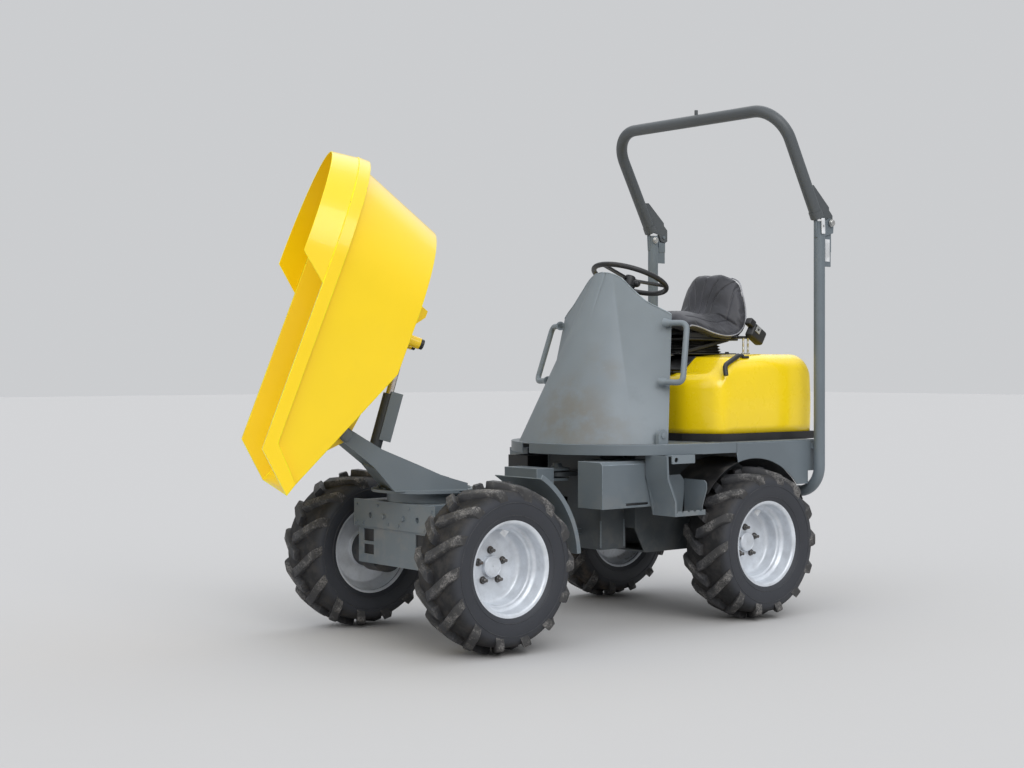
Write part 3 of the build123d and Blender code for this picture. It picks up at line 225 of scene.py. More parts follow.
def wheel_paint(name, soil):
    """Silver wheel paint with a little soil in its well."""
    base = (0.66, 0.69, 0.73)
    look = Look(name, 0.38, metallic=0.25)
    cloud, fine = look.noise(12.0, 4.0, 0.6), look.noise(220.0, 3.0, 0.6)
    colour = look.mix(shade(base, 0.88), shade(base, 1.08), cloud.ramp(0.34, 0.66))
    dirt = look.noise(26.0, 5.0, 0.7).ramp(0.52, 0.74) * soil
    colour = look.mix(colour, RIM_DIRT, dirt)
    return look.finish(colour, cloud * 0.12 + dirt * 0.4 + 0.3, fine, 0.08, 0.0005)


def moulded(name, base, roughness, grain=300.0, strength=0.25, dust=0.15):
    """Black moulded plastic or enamelled steel with a fine grain and a breath of dust."""
    look = Look(name, roughness)
    cloud, fine = look.noise(9.0, 4.0, 0.6), look.noise(grain, 3.0, 0.6)
    colour = look.mix(shade(base, 0.8), shade(base, 1.35), cloud.ramp(0.35, 0.65))
    dusty = look.upward() * cloud.ramp(0.42, 0.7) * dust
    colour = look.mix(colour, DUST, dusty)
    return look.finish(colour, cloud * 0.12 + dusty + (roughness - 0.05), fine, strength, 0.0005)


def vinyl(name):
    """Seat vinyl: near black with a pebbled grain, a little dusty and paler on its worn crowns."""
    look = Look(name, 0.52, sheen=0.15)
    pebble = look.node("ShaderNodeTexVoronoi", {"feature": "F1"}, look.place, Scale=420.0)
    cloud = look.noise(7.0, 5.0, 0.6)
    colour = look.mix((0.016, 0.016, 0.02), (0.034, 0.034, 0.042), cloud.ramp(0.35, 0.65))
    dusty = look.upward() * cloud.ramp(0.4, 0.66) * 0.22
    colour = look.mix(colour, (0.17, 0.165, 0.17), dusty)
    return look.finish(colour, cloud * 0.14 + dusty * 0.4 + 0.4, pebble, 0.22, 0.0007)


def bright(name, base, roughness, rust=0.0):
    """Plated or polished steel with faint drawn lines and, where asked, a bloom of rust."""
    look = Look(name, roughness, metallic=1.0)
    lines = look.noise(60.0, 3.0, 0.6, stretch=(1.0, 1.0, 9.0))
    cloud = look.noise(30.0, 5.0, 0.65)
    colour = look.mix(shade(base, 0.8), shade(base, 1.1), lines.ramp(0.3, 0.7))
    bloom = cloud.ramp(0.5, 0.7) * rust
    colour = look.mix(colour, RUST, bloom)
    rough = lines * 0.1 + bloom * 0.4 + roughness
    return look.finish(colour, rough, lines, 0.08, 0.0004, metallic=1.0 - bloom)


YELLOW, HOOD_YELLOW = (0.96, 0.66, 0.002), (0.97, 0.69, 0.002)
GREY, PALE_GREY, DARK_GREY = (0.140, 0.166, 0.184), (0.185, 0.215, 0.235), (0.040, 0.045, 0.050)
BARE, BARE_YELLOW, BARE_DARK = (0.42, 0.43, 0.44), (0.5, 0.36, 0.02), (0.12, 0.12, 0.12)
SHIELD_SMEARS = (((-0.02, 0.20, 1.33), 0.05, 0.13, 0.85), ((0.05, 0.10, 1.02), 0.06, 0.22, 0.6),
                 ((-0.12, 0.27, 1.24), 0.03, 0.09, 0.7), ((0.0, 0.33, 0.93), 0.05, 0.2, 0.45))
LOOKS = {
    "yellow_paint": paint("skip yellow", YELLOW, 0.32, coat=0.3, dust=0.03, scuff=0.08, mottle=0.25),
    "bonnet_yellow": paint("bonnet yellow", HOOD_YELLOW, 0.28, coat=0.5, dust=0.03, scuff=0.04, peel=0.05,
                           mottle=0.2),
    "grey_paint": paint("frame grey", GREY, 0.42, dust=0.32, low=0.75),
    "light_grey_paint": paint("shield grey", PALE_GREY, 0.45, dust=0.18, smears=SHIELD_SMEARS, scuff=0.5),
    "dark_paint": paint("chassis grey", DARK_GREY, 0.55, dust=0.35, low=0.6),
    "rim_paint": wheel_paint("wheel silver", 0.12),
    "tyre": rubber("tread rubber", SOIL),
    "black_vinyl": vinyl("seat vinyl"),
    "black_plastic": moulded("black moulding", (0.014, 0.014, 0.015), 0.45),
    "rod_chrome": bright("polished rod", (0.66, 0.6, 0.54), 0.16, rust=0.25),
    "engine": moulded("engine casting", (0.045, 0.045, 0.048), 0.6, grain=90.0, strength=0.5, dust=0.3),
}
# paler colours for the rounded edges: painted highlight, with chips of bare metal as wear
EDGES = {slot: edge_highlight_and_wear(name, base, metal) for slot, name, base, metal in (
    ("yellow_paint", "skip yellow edge", YELLOW, BARE_YELLOW),
    ("grey_paint", "frame grey edge", GREY, BARE),
    ("light_grey_paint", "shield grey edge", PALE_GREY, BARE),
    ("dark_paint", "chassis grey edge", DARK_GREY, BARE_DARK))}
DUSTY_TYRE = rubber("dusty tread rubber", DRY_SOIL)
DUSTY_RIM = wheel_paint("dusty wheel silver", 0.75)
ZINC = bright("zinc plate", (0.62, 0.62, 0.6), 0.32, rust=0.15)
PIPING = moulded("seat piping", (0.30, 0.30, 0.32), 0.5, dust=0.0)
BLANK_WHITE = moulded("blank label", (0.72, 0.73, 0.74), 0.4, dust=0.0)
WELD = paint("weld bead", GREY, 0.5, dust=0.2)
# painted shade: a darker grey for the rear chassis, standing in for the shadow under the deck
CHASSIS_PAINTED_SHADE = paint("chassis painted shade grey", (0.070, 0.080, 0.086), 0.55, dust=0.12, low=0.7)
# painted shade: a darker copy of the frame grey for the hoop, its gussets and sleeves, while the posts keep
# the frame grey
HOOP_PAINTED_SHADE = paint("hoop painted shade grey", (0.080, 0.088, 0.093), 0.45, dust=0.10)
STUD = bright("dark stud steel", (0.16, 0.155, 0.15), 0.4, rust=0.3)


# ---------------------------------------------------------------- shapes
# a form is its points and a list of face arrays; outlines and paths are rows of points
def grid(points, wrap_u=False, wrap_v=False, cap=False):
    """Four-cornered faces over points[u, v].

    wrap joins the last row or column to the first, cap closes both end rows to their middles."""
    n, m = points.shape[:2]
    starts = np.arange(n if wrap_u else n - 1), np.arange(m if wrap_v else m - 1)
    rows, cols = np.meshgrid(*starts, indexing="ij")
    below, beside = (rows + 1) % n, (cols + 1) % m
    corners = (rows * m + cols, rows * m + beside, below * m + beside, below * m + cols)
    faces = [np.stack(corners, -1).reshape(-1, 4)]
    verts = points.reshape(-1, 3)
    if cap:
        ring = np.arange(m)
        after = (ring + 1) % m
        middles = np.stack([points[0].mean(0), points[-1].mean(0)])
        first, last = len(verts), len(verts) + 1
        verts = np.vstack([verts, middles])
        faces += [np.stack([np.full(m, first), after, ring], -1),
                  np.stack([np.full(m, last), ring + (n - 1) * m, after + (n - 1) * m], -1)]
    return verts, faces


def flipped(form):
    """The same form with its faces turned over."""
    verts, faces = form
    return verts, [f[:, ::-1] for f in faces]


def outward(form):
    """The same form with its faces turned so that the volume they close is positive."""
    verts, faces = form
    total = 0.0
    for f in faces:
        for k in range(1, f.shape[1] - 1):
            a, b, c = verts[f[:, 0]], verts[f[:, k]], verts[f[:, k + 1]]
            total += np.einsum("ij,ij->i", a, np.cross(b, c)).sum()
    return form if total > 0 else flipped(form)


def closed(points):
    """Solid over points[u, v]: round in v, capped at both ends of u, faces outward."""
    return outward(grid(points, wrap_v=True, cap=True))


def merged(forms):
    """One form of many."""
    verts, faces, start = [], [], 0
    for v, fs in forms:
        verts.append(v)
        faces += [f + start for f in fs]
        start += len(v)
    return np.vstack(verts), faces


def moved(form, turn=None, by=(0.0, 0.0, 0.0)):
    """The form turned by a 3 by 3 matrix and then moved."""
    verts, faces = form
    verts = verts if turn is None else verts @ np.array(turn).T
    return verts + np.array(by), faces


def mirrored(form):
    """Mirror image of the form on the machine's other side."""
    verts, faces = flipped(form)
    return verts * np.array([1.0, -1.0, 1.0]), faces


def turn_y(angle):
    """Rotation about Y that takes +Z towards +X."""
    c, s = cos(angle), sin(angle)
    return np.array([[c, 0, s], [0, 1, 0], [-s, 0, c]])


def turn_z(angle):
    """Rotation about Z that takes +X towards +Y."""
    c, s = cos(angle), sin(angle)
    return np.array([[c, -s, 0], [s, c, 0], [0, 0, 1]])


def turn_x(angle):
    """Rotation about X that takes +Y towards +Z."""
    c, s = cos(angle), sin(angle)
    return np.array([[1, 0, 0], [0, c, -s], [0, s, c]])


def facing(direction):
    """Matrix that takes +Z to the direction."""
    return np.array(Vector((0, 0, 1)).rotation_difference(Vector(direction)).to_matrix())


def unit(vectors):
    """The same directions, each 1 long."""
    return vectors / np.linalg.norm(vectors, axis=1)[:, None]


def circle(count, start=0.0):
    """Angles spread evenly round a circle."""
    return np.linspace(0, 2 * pi, count, endpoint=False) + start


def step_up(x, low, high):
    """0 at low, 1 at high, with level ends: 3t^2 - 2t^3."""
    t = np.clip((x - low) / (high - low), 0, 1)
    return t * t * (3 - 2 * t)


def smooth_line(points, count):
    """Points spread evenly along a Catmull-Rom curve through the given ones."""
    p = np.array(points, float)
    p = np.vstack([2 * p[0] - p[1], p, 2 * p[-1] - p[-2]])
    s = np.linspace(0, len(points) - 1, count)
    k = np.minimum(s.astype(int), len(points) - 2)
    t = (s - k)[:, None]
    a, b, c, d = p[k], p[k + 1], p[k + 2], p[k + 3]
    square, cube = 2 * a - 5 * b + 4 * c - d, 3 * b - a - 3 * c + d
    return 0.5 * (2 * b + (c - a) * t + square * t ** 2 + cube * t ** 3)


def rounded(corners, bend, steps=6):
    """Straight runs through corners, each inner corner an arc: (1-t)^2 start + 2t(1-t) corner + t^2 end."""
    corners = np.array(corners, float)
    bends = np.broadcast_to(bend, len(corners))
    path = [corners[:1]]
    t = np.linspace(0, 1, steps + 1)[:, None]
    for before, here, after, b in zip(corners, corners[1:], corners[2:], bends[1:]):
        to, away = before - here, after - here
        back, ahead = np.linalg.norm(to), np.linalg.norm(away)
        reach = min(b, back * 0.49, ahead * 0.49)
        start, end = here + to / back * reach, here + away / ahead * reach
        path.append((1 - t) ** 2 * start + 2 * t * (1 - t) * here + t ** 2 * end)
    path.append(corners[-1:])
    return np.vstack(path)


def lengths(path):
    """Length of the path up to each of its points."""
    return np.concatenate([[0], np.cumsum(np.linalg.norm(np.diff(path, axis=0), axis=1))])


def along(path, s):
    """Points of the path at the lengths s along it."""
    run = lengths(path)
    return np.stack([np.interp(s, run, column) for column in path.T], 1)


def pipe(path, radius, sides=14, flat=(0.0, 0.0, 1.0)):
    """Tube: path(s) + radius (cos a * across + sin a * up), with across square to the path and to flat."""
    path = np.asarray(path, float)
    ahead = unit(np.gradient(path, axis=0))
    across = unit(np.cross(ahead, np.broadcast_to(flat, ahead.shape)))
    up = np.cross(across, ahead)
    a = circle(sides)[None, :, None]
    radius = np.broadcast_to(radius, len(path))[:, None, None]
    return closed(path[:, None] + radius * (np.cos(a) * across[:, None] + np.sin(a) * up[:, None]))


def rod(start, end, radius, count=6, **more):
    """Straight tube of count rings; the radius may be one number or one for each ring."""
    return pipe(np.linspace(start, end, count), radius, **more)


def threaded(start, end, radius, depth, turns, count, **more):
    """Threaded rod: radius + depth cos(2 pi turns s), with s from 0 to 1 along it."""
    return rod(start, end, radius + depth * np.cos(np.linspace(0, 2 * pi * turns, count)), count, **more)


def turned(profile, steps=64):
    """Closed outline of (offset along Y, radius) carried round the Y axis: (r cos a, y, r sin a)."""
    y, r = np.asarray(profile, float).T
    a = circle(steps)[:, None]
    return outward(grid(np.stack([r * np.cos(a), y + 0 * a, r * np.sin(a)], -1), wrap_u=True, wrap_v=True))


def slab(outline, low, high):
    """Flat plate: an outline of (x, z) between two offsets along Y, closed by fans to its middle."""
    x, z = np.array(outline).T
    return closed(np.stack([np.stack([x, np.full(len(x), y), z], -1) for y in (low, high)]))


def block(size, place, radius=0.004, turn=None):
    """Box whose edges are quarter circles, sign * (half - r) + r * direction, turned and put in its place."""
    half, steps = np.array(size) / 2 - radius, 3
    t = np.linspace(0, pi / 2, steps + 1)
    lon = np.concatenate([t + k * pi / 2 for k in range(4)])
    sx, sy = (np.repeat(signs, steps + 1) for signs in ([1, -1, -1, 1], [1, 1, -1, -1]))
    lat = np.concatenate([t - pi / 2, t])
    sz = np.repeat([-1, 1], steps + 1)[:, None]
    level, spin = np.cos(lat)[:, None], np.sin(lat)[:, None]
    points = np.stack([sx * half[0] + radius * level * np.cos(lon),
                       sy * half[1] + radius * level * np.sin(lon),
                       sz * half[2] + radius * spin + 0 * lon], -1)
    return moved(closed(points), turn, place)


def bolt_head(radius, height, sides=6, washer=1.35, turn=0.0):
    """Bolt head on a round washer, standing along +Z from the origin, its top edge bevelled.

    With six sides it is a hexagon of inner radius r: r / cos(angle from the middle of its flat)."""
    a = circle(24)
    hexagon = radius / np.cos((a + turn) % (2 * pi / sides) - pi / sides)
    rings = [(np.full(24, radius * washer), 0.0), (np.full(24, radius * washer), height * 0.18),
             (hexagon, height * 0.19), (hexagon, height * 0.86), (hexagon * 0.86, height)]
    return closed(np.stack([np.stack([r * np.cos(a), r * np.sin(a), np.full(24, z)], -1) for r, z in rings]))


def round_head(radius, height):
    """The same head with a round outline and no washer."""
    return bolt_head(radius, height, sides=24, washer=1.0)


def bolts(places, direction, radius=0.009, height=0.008):
    """A bolt head at each place, all facing the same way."""
    turn = facing(direction)
    return [moved(bolt_head(radius, height, turn=0.4 * k), turn, place) for k, place in enumerate(places)]


def on_swivel(u, v, z):
    """Machine coordinates of a point given forward, left and up from the slew axis."""
    return np.array([HALF_BASE + u * cos(SWIVEL) - v * sin(SWIVEL), u * sin(SWIVEL) + v * cos(SWIVEL), z])


def on_skip(form):
    """From the lowered skip's own axes at the tip pivot to the machine's, as it is stored."""
    return moved(form, turn_z(SWIVEL) @ turn_y(TIP), on_swivel(TIP_U, 0.0, TIP_Z))


# ---------------------------------------------------------------- pieces
CREASE = 35.0


def read_points(mesh, key="co"):
    """The mesh's points, or another vector kept on each, as rows."""
    values = np.empty(len(mesh.vertices) * 3)
    mesh.vertices.foreach_get(key, values)
    return values.reshape(-1, 3)


def smooth_faces(mesh, crease=None):
    """Smooth shading, with edges sharp where they turn by more than crease degrees."""
    mesh.polygons.foreach_set("use_smooth", np.ones(len(mesh.polygons), bool))
    if crease:
        mesh.set_sharp_from_angle(angle=radians(crease))


def repaint(mesh, material):
    """One material over the whole mesh."""
    mesh.materials.clear()
    mesh.materials.append(material)


def added(name, mesh, body):
    """A new object at the origin, riding on a body."""
    made = bpy.data.objects.new(name, mesh)
    SCENE.collection.objects.link(made)
    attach(made, body)
    return made


def piece(name, forms, slot, body, look=None, instead=(), crease=CREASE, marks=None):
    """One object from its forms, riding on a body and standing in for the CAD nodes it replaces."""
    verts, faces = merged(forms)
    mesh = bpy.data.meshes.new(name)
    mesh.from_pydata(verts.tolist(), [], [f for rows in faces for f in rows.tolist()])
    smooth_faces(mesh, crease)
    for key, values in (marks or {}).items():
        mesh.attributes.new(key, "FLOAT", "POINT").data.foreach_set("value", values.astype(np.float32))
    mesh.materials.append(look or LOOKS[slot])
    mesh.validate()
    made = added(name, mesh, body)
    if instead:
        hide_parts(*instead)
    return made


def edged(node, slot, body, width, look=None, edge=True):
    """A CAD node's own faces, merged into flat panels, with its sharp edges rounded, painted paler as a
    highlight and a little worn.
    """
    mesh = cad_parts[node].data.copy()
    shape = bmesh.new()
    shape.from_mesh(mesh)
    bmesh.ops.remove_doubles(shape, verts=shape.verts, dist=0.00001)
    bmesh.ops.dissolve_limit(shape, angle_limit=radians(0.5), verts=shape.verts, edges=shape.edges)
    shape.to_mesh(mesh)
    shape.free()
    if "custom_normal" in mesh.attributes:
        mesh.attributes.remove(mesh.attributes["custom_normal"])
    smooth_faces(mesh, CREASE)
    repaint(mesh, look or LOOKS[slot])
    made = added(f"{node}_dressed", mesh, body)
    bevel = made.modifiers.new("edges", "BEVEL")
    bevel.width, bevel.segments, bevel.limit_method = width, 2, "ANGLE"
    bevel.angle_limit = radians(CREASE)
    # the bevels take the paler edge colour: painted highlight and wear
    if edge and slot in EDGES:
        mesh.materials.append(EDGES[slot])
        bevel.material = 1
    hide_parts(node)
    return made


# ---------------------------------------------------------------- wheels
LUGS, LUG_ROWS, TYRE_STEPS = 14, 15, 112
# the tyre's outline from the rim to the middle of the tread: offset from its middle, radius
SIDEWALL = [(-0.1035, 0.1942), (-0.1140, 0.2080), (-0.1245, 0.2300), (-0.1300, 0.2550), (-0.1312, 0.2760),
            (-0.1285, 0.2980), (-0.1180, 0.3180), (-0.0960, 0.3310), (-0.0500, 0.3372), (0.0, 0.3385)]
SIDE_RINGS = ((0.1307, 0.2830), (0.1236, 0.2290))
# each station of a lug: offset from the tyre's middle, place along the tread, radius at its crown and at its
# root, offset of its root
LUG_LINE = [(-0.013, -0.017, 0.3698, 0.332, 0.0), (0.020, 0.000, 0.3665, 0.331, 0.02),
            (0.060, 0.030, 0.3585, 0.328, 0.06), (0.098, 0.060, 0.3495, 0.318, 0.09),
            (0.124, 0.079, 0.3420, 0.306, 0.112), (0.1322, 0.088, 0.3280, 0.296, 0.118),
            (0.1318, 0.096, 0.3080, 0.288, 0.121), (0.1290, 0.101, 0.2880, 0.280, 0.123)]


def carcass():
    """Tyre body: a smooth outline (y, r) and its mirror image turned round Y, as (r cos a, y, r sin a)."""
    side = smooth_line(SIDEWALL, 34)
    return turned(np.vstack([side, side[-2::-1] * [-1, 1]]), TYRE_STEPS)


def ridge(y, r):
    """Thin raised ring on the sidewall: a small circle about (y, r) turned round Y."""
    a, size = circle(10), 0.0024
    return turned(np.column_stack([y + size * np.sin(a), r + size * np.cos(a)]), TYRE_STEPS)


def lug(turn, side):
    """Bar of the tread at (r cos a, y, r sin a), with a = turn + (place along the tread + offset across) / R.

    It has six columns across: root, shoulder, crown, and the same back."""
    y, arc, crown, root, root_y = smooth_line(LUG_LINE, LUG_ROWS).T
    fade = np.linspace(0, 1, LUG_ROWS)
    top, base = 0.0205 + 0.004 * fade, 0.0300 + 0.005 * fade
    bend = 0.0035
    wide, narrow = top + bend * 0.5, top - bend * 0.5
    offsets = np.stack([-base, -wide, -narrow, narrow, wide, base], 1)
    radii = np.stack([root, crown - bend, crown, crown, crown - bend, root], 1)
    lateral = np.stack([root_y, y, y, y, y, root_y], 1)
    lateral[0] = y[0]
    angle = turn + (arc[:, None] + offsets) / TYRE_R
    return closed(np.stack([radii * np.cos(angle), side * lateral, radii * np.sin(angle)], -1))


def tyre_forms():
    """The tyre's body, then its lugs, left and right in turn, then the rings on its sidewalls."""
    bars = [lug(pi * k / LUGS - pi / 2, BOTH[k % 2]) for k in range(2 * LUGS)]
    return [carcass(), *bars, *[ridge(side * y, r) for side in BOTH for y, r in SIDE_RINGS]]


def tyre_marks(forms):
    """wear is 1 along the lugs' crests, most at their outer ends; hollow is 1 between the lugs."""
    verts = np.vstack([v for v, _ in forms])
    bar = np.append(np.tile([0.0, 0.9, 1.0, 1.0, 0.9, 0.0], LUG_ROWS), [0.4, 0.4])
    rings = np.full(sum(len(v) for v, _ in forms[2 * LUGS + 1:]), 0.12)
    crest = np.concatenate([np.zeros(len(forms[0][0])), np.tile(bar, 2 * LUGS), rings])
    r, y = np.hypot(verts[:, 0], verts[:, 2]), np.abs(verts[:, 1])
    return {"wear": crest * np.clip((y + 0.02) / 0.1, 0.3, 1),
            "hollow": np.clip((r - 0.300) / 0.03, 0, 1) * (1 - crest)}


RIM_FACE = -0.034
# the rim's and disc's closed outline, and the hub cap's: offset along the axle, radius
RIM_OUTLINE = [(RIM_FACE, 0.0460), (RIM_FACE, 0.1380), (-0.0270, 0.1560), (-0.0120, 0.1622), (0.0260, 0.1628),
               (0.0320, 0.1700), (0.0430, 0.1730), (0.0520, 0.1860), (0.0600, 0.1880), (0.1040, 0.1895),
               (0.1100, 0.1960), (0.1130, 0.2060), (0.1143, 0.2105), (0.1090, 0.2108), (0.1085, 0.1945),
               (0.0560, 0.1938), (0.0300, 0.1682), (-0.0440, 0.1682), (-0.0620, 0.1938), (-0.1085, 0.1945),
               (-0.1090, 0.2108), (-0.1143, 0.2105), (-0.1100, 0.1960), (-0.0640, 0.1880), (-0.0460, 0.1622),
               (-0.0440, 0.0880), (-0.0620, 0.0870), (-0.0620, 0.0100), (-0.0440, 0.0080)]
CAP_OUTLINE = [(-0.045, 0.0005), (-0.0160, 0.0005), (-0.0160, 0.0030), (-0.0135, 0.0034), (-0.0128, 0.0400),
               (-0.0148, 0.0412), (-0.0148, 0.0424), (-0.0130, 0.0440), (-0.0150, 0.0462),
               (RIM_FACE - 0.002, 0.0475)]
STUDS, STUD_CIRCLE = 5, 0.07


def wheel_forms():
    """Rim and disc turned round Y from one rounded outline, and a hub cap with its ring and centre hole."""
    return [turned(rounded(RIM_OUTLINE + RIM_OUTLINE[:1], 0.006, 4)[:-1], 96),
            turned(rounded(CAP_OUTLINE, 0.0006, 2), 64)]


def stud_forms():
    """Five nuts on their threaded studs."""
    forms = []
    for k, a in enumerate(circle(STUDS, pi / 2)):
        x, z = STUD_CIRCLE * cos(a), STUD_CIRCLE * sin(a)
        forms.append(moved(bolt_head(0.0125, 0.013, turn=k), facing((0, 1, 0)), (x, RIM_FACE, z)))
        foot, top = (x, RIM_FACE + 0.012, z), (x, RIM_FACE + 0.030, z)
        forms.append(threaded(foot, top, 0.0064, 0.0009, 6, 40, sides=12))
    return forms


TYRE_FORMS, WHEEL_FORMS, STUD_FORMS = tyre_forms(), wheel_forms(), stud_forms()
BLANK_PATCH = block((0.034, 0.046, 0.0012), (-0.047, 0.012, 0.152), 0.0005,
                    turn_y(radians(-38)) @ turn_x(radians(82)))
for end, ahead in (("front", 1), ("rear", -1)):
    for hand, side in (("left", 1), ("right", -1)):
        name = f"{end}_{hand}"
        body = f"wheel_{name}"
        hub = (ahead * HALF_BASE, side * WHEEL_Y, TYRE_R)
        tyre_look, rim_look = (DUSTY_TYRE, DUSTY_RIM) if name == "rear_right" else (None, None)
        wheel, studs = ([moved(form if side > 0 else mirrored(form), by=hub) for form in forms]
                        for forms in (WHEEL_FORMS, STUD_FORMS))
        piece(f"tread_{name}", [moved(form, by=hub) for form in TYRE_FORMS], "tyre", body,
              look=tyre_look, instead=[f"tyre_{name}"], crease=32, marks=tyre_marks(TYRE_FORMS))
        piece(f"wheel_{name}_disc", wheel, "rim_paint", body, look=rim_look, instead=[f"rim_{name}"],
              crease=40)
        piece(f"studs_{name}", studs, "rim_paint", body, look=STUD, crease=40)
        if side > 0:
            piece(f"label_{name}", [moved(BLANK_PATCH, by=hub)], "rim_paint", body, look=BLANK_WHITE)


# ---------------------------------------------------------------- carried-over pieces
# body, slot, and the CAD nodes of both with the width of their rounded edges
for body, slot, widths in (
        ("skip", "yellow_paint", {"skip_tub": 0.0022, "spill_guard": 0.0018, "skip_hinges": 0.002}),
        ("turntable", "grey_paint", {"tip_frame": 0.0018}),
        ("front_frame", "grey_paint", {"slew_ring": 0.002, "front_plates": 0.0015, "mudguards": 0.0012,
                                       "front_chassis": 0.002}),
        ("rear_frame", "grey_paint", {"deck": 0.0015, "side_plates": 0.0015, "toolbox": 0.003,
                                      "steps": 0.0012}),
        ("rear_frame", "light_grey_paint", {"tie_downs": 0.0015}),
        ("rear_frame", "dark_paint", {"tow_hitch": 0.003}),
        ("tip_barrel", "grey_paint", {"barrel_guard": 0.0012})):
    for node, width in widths.items():
        edged(node, slot, body, width)
# the rear chassis in its darker grey, painted shade under the deck, and without the paler edges
edged("rear_chassis", "grey_paint", "rear_frame", 0.0018, look=CHASSIS_PAINTED_SHADE, edge=False)
for slot, nodes in (("grey_paint", ["rops_posts"]), ("rod_chrome", ["tip_rod", "steer_rod"]),
                    ("dark_paint", ["tip_barrel", "steer_barrel", "front_axle", "rear_axle"]),
                    ("engine", ["engine_block"]),
                    ("black_plastic", ["bonnet_sill", "oil_tank", "steering_column", "steering_wheel"])):
    for node in nodes:
        repaint(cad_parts[node].data, LOOKS[slot])
# the hoop in its darker grey: painted shade
repaint(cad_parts["rops_hoop"].data, HOOP_PAINTED_SHADE)


# ---------------------------------------------------------------- console
# the shield's plan at the deck and at its uncut head: nose X, nose radius, half width, rear X
SHIELD_FOOT, SHIELD_HEAD, SHIELD_H = (0.108, 0.430, 0.462, -0.292), (-0.292, 0.165, 0.362, -0.425), 0.830
# its top edge seen from the front: distance from the middle, height above the deck
CREST = [(0.0, 0.826), (0.060, 0.818), (0.120, 0.792), (0.175, 0.746), (0.268, 0.675), (0.345, 0.636),
         (0.394, 0.604), (0.412, 0.548)]
SHEET_T, SHEET_ROWS = 0.005, 25
# the shallow fold left of its middle: distance and height above the deck at its two ends, its depth and width
FOLD_TOP, FOLD_END, FOLD_DEEP, FOLD_WIDE = (0.024, 0.826), (0.033, 0.600), 0.0045, 0.0045
EAR_X, EAR_Z, EAR_R, EAR_Y = -0.252, 0.902, 0.030, (0.449, 0.471)


def plan(sizes, inset, flank, arc):
    """Plan line of the shield: flank, tangent arc round the nose, other flank, as points of (x, y)."""
    nose, radius, half, rear = sizes
    centre, radius, half = nose - radius, radius - inset, half - inset
    turn = np.arctan2(half, rear - centre) - np.arccos(radius / np.hypot(rear - centre, half))
    tip = np.array([centre + radius * cos(turn), radius * sin(turn)])
    side = (1 - flank) * np.array([rear, half]) + flank * tip
    angle = turn * (1 - 2 * arc)
    nose_line = np.column_stack([centre + radius * np.cos(angle), radius * np.sin(angle)])
    return np.vstack([side, nose_line, side[::-1] * [1, -1]])


def crest_share(foot, head):
    """Share of each line from foot to head at which it meets the crest, interpolated between 500 steps."""
    crest = smooth_line(CREST, 120)
    share = np.linspace(0.4, 1, 500)
    across = np.abs((1 - share) * foot[:, 1:] + share * head[:, 1:])
    spare = np.interp(across, np.maximum.accumulate(crest[:, 0]), crest[:, 1]) - share * SHIELD_H
    first = np.argmax(spare < 0, axis=1)
    rows = np.arange(len(foot))
    before, after = spare[rows, first - 1], spare[rows, first]
    return share[first - 1] + (share[1] - share[0]) * before / (before - after)


def shield_sheet():
    """Sheet ruled between the two plans: (1 - f) foot(t) + f head(t), f from 0 to the crest's share.

    The outer face is pressed in along the fold: depth * exp(-(distance from it / width)^2), fading out to its
    lower end. Gives the sheet and the line along the middle of its top edge."""
    flank = np.linspace(0, 1, 36)[:-1, None]
    # finer steps round the nose where the fold lies
    arc = np.unique(np.concatenate([np.linspace(0, 1, 91), np.linspace(0.34, 0.50, 101)]))
    top = crest_share(plan(SHIELD_FOOT, 0, flank, arc), plan(SHIELD_HEAD, 0, flank, arc))
    f = np.linspace(0, 1, SHEET_ROWS)[None, :, None] * top[:, None, None]
    faces = []
    for inset in (0, SHEET_T):
        low, high = (plan(sizes, inset, flank, arc)[:, None] for sizes in (SHIELD_FOOT, SHIELD_HEAD))
        faces.append(np.concatenate([(1 - f) * low + f * high, DECK_TOP + 0.0006 + f * SHIELD_H], -1))
    outer, inner = faces
    level = (outer[..., 2] - DECK_TOP - FOLD_END[1]) / (FOLD_TOP[1] - FOLD_END[1])
    course = FOLD_END[0] + (FOLD_TOP[0] - FOLD_END[0]) * level
    off = (outer[..., 1] - course) / FOLD_WIDE
    outer[..., 0] -= FOLD_DEEP * np.exp(-off ** 2) * step_up(level, 0.0, 0.5)
    edge, back = outer[:, -1:], inner[:, -1:]
    rim = [edge * (1 - k) + back * k + [0, 0, 0.010 * k * (1 - k)] for k in (0.15, 0.5, 0.85)]
    return closed(np.concatenate([outer, *rim, inner[:, ::-1]], axis=1)), rim[1][:, 0]


SHEET, LIP = shield_sheet()
ear_top = [(EAR_X + EAR_R * cos(a), EAR_Z + EAR_R * sin(a)) for a in np.linspace(0, pi, 25)]
EAR = [(EAR_X + EAR_R, DECK_TOP), *ear_top, (EAR_X - EAR_R, DECK_TOP)]
ears = [slab(EAR, *(side * y for y in EAR_Y)) for side in BOTH]
for side in BOTH:
    ears += bolts([(EAR_X, side * EAR_Y[1], EAR_Z)], (0, side, 0), 0.0135, 0.006)
piece("shield", [SHEET, *ears], "light_grey_paint", "rear_frame", instead=["console"], crease=50)
# the round lip along the crest, in the paler edge colour: a painted highlight, with wear
piece("shield_lip", [pipe(LIP, 0.0034, 10, flat=(0.2, 0.1, 1.0))], "light_grey_paint", "rear_frame",
      look=EDGES["light_grey_paint"])


# ---------------------------------------------------------------- bonnet
# the hood's plan: front, rear, half width, half width of its nose, length of the cut corners
HOOD_FRONT, HOOD_REAR, HOOD_HALF, HOOD_NOSE, HOOD_CUT = -0.545, -1.335, 0.480, 0.300, 0.092
SHOULDER_R, WALL_INSET, BELLY = 0.080, 0.004, 0.004
HINGE_X, HINGE_Y = -1.351, 0.234


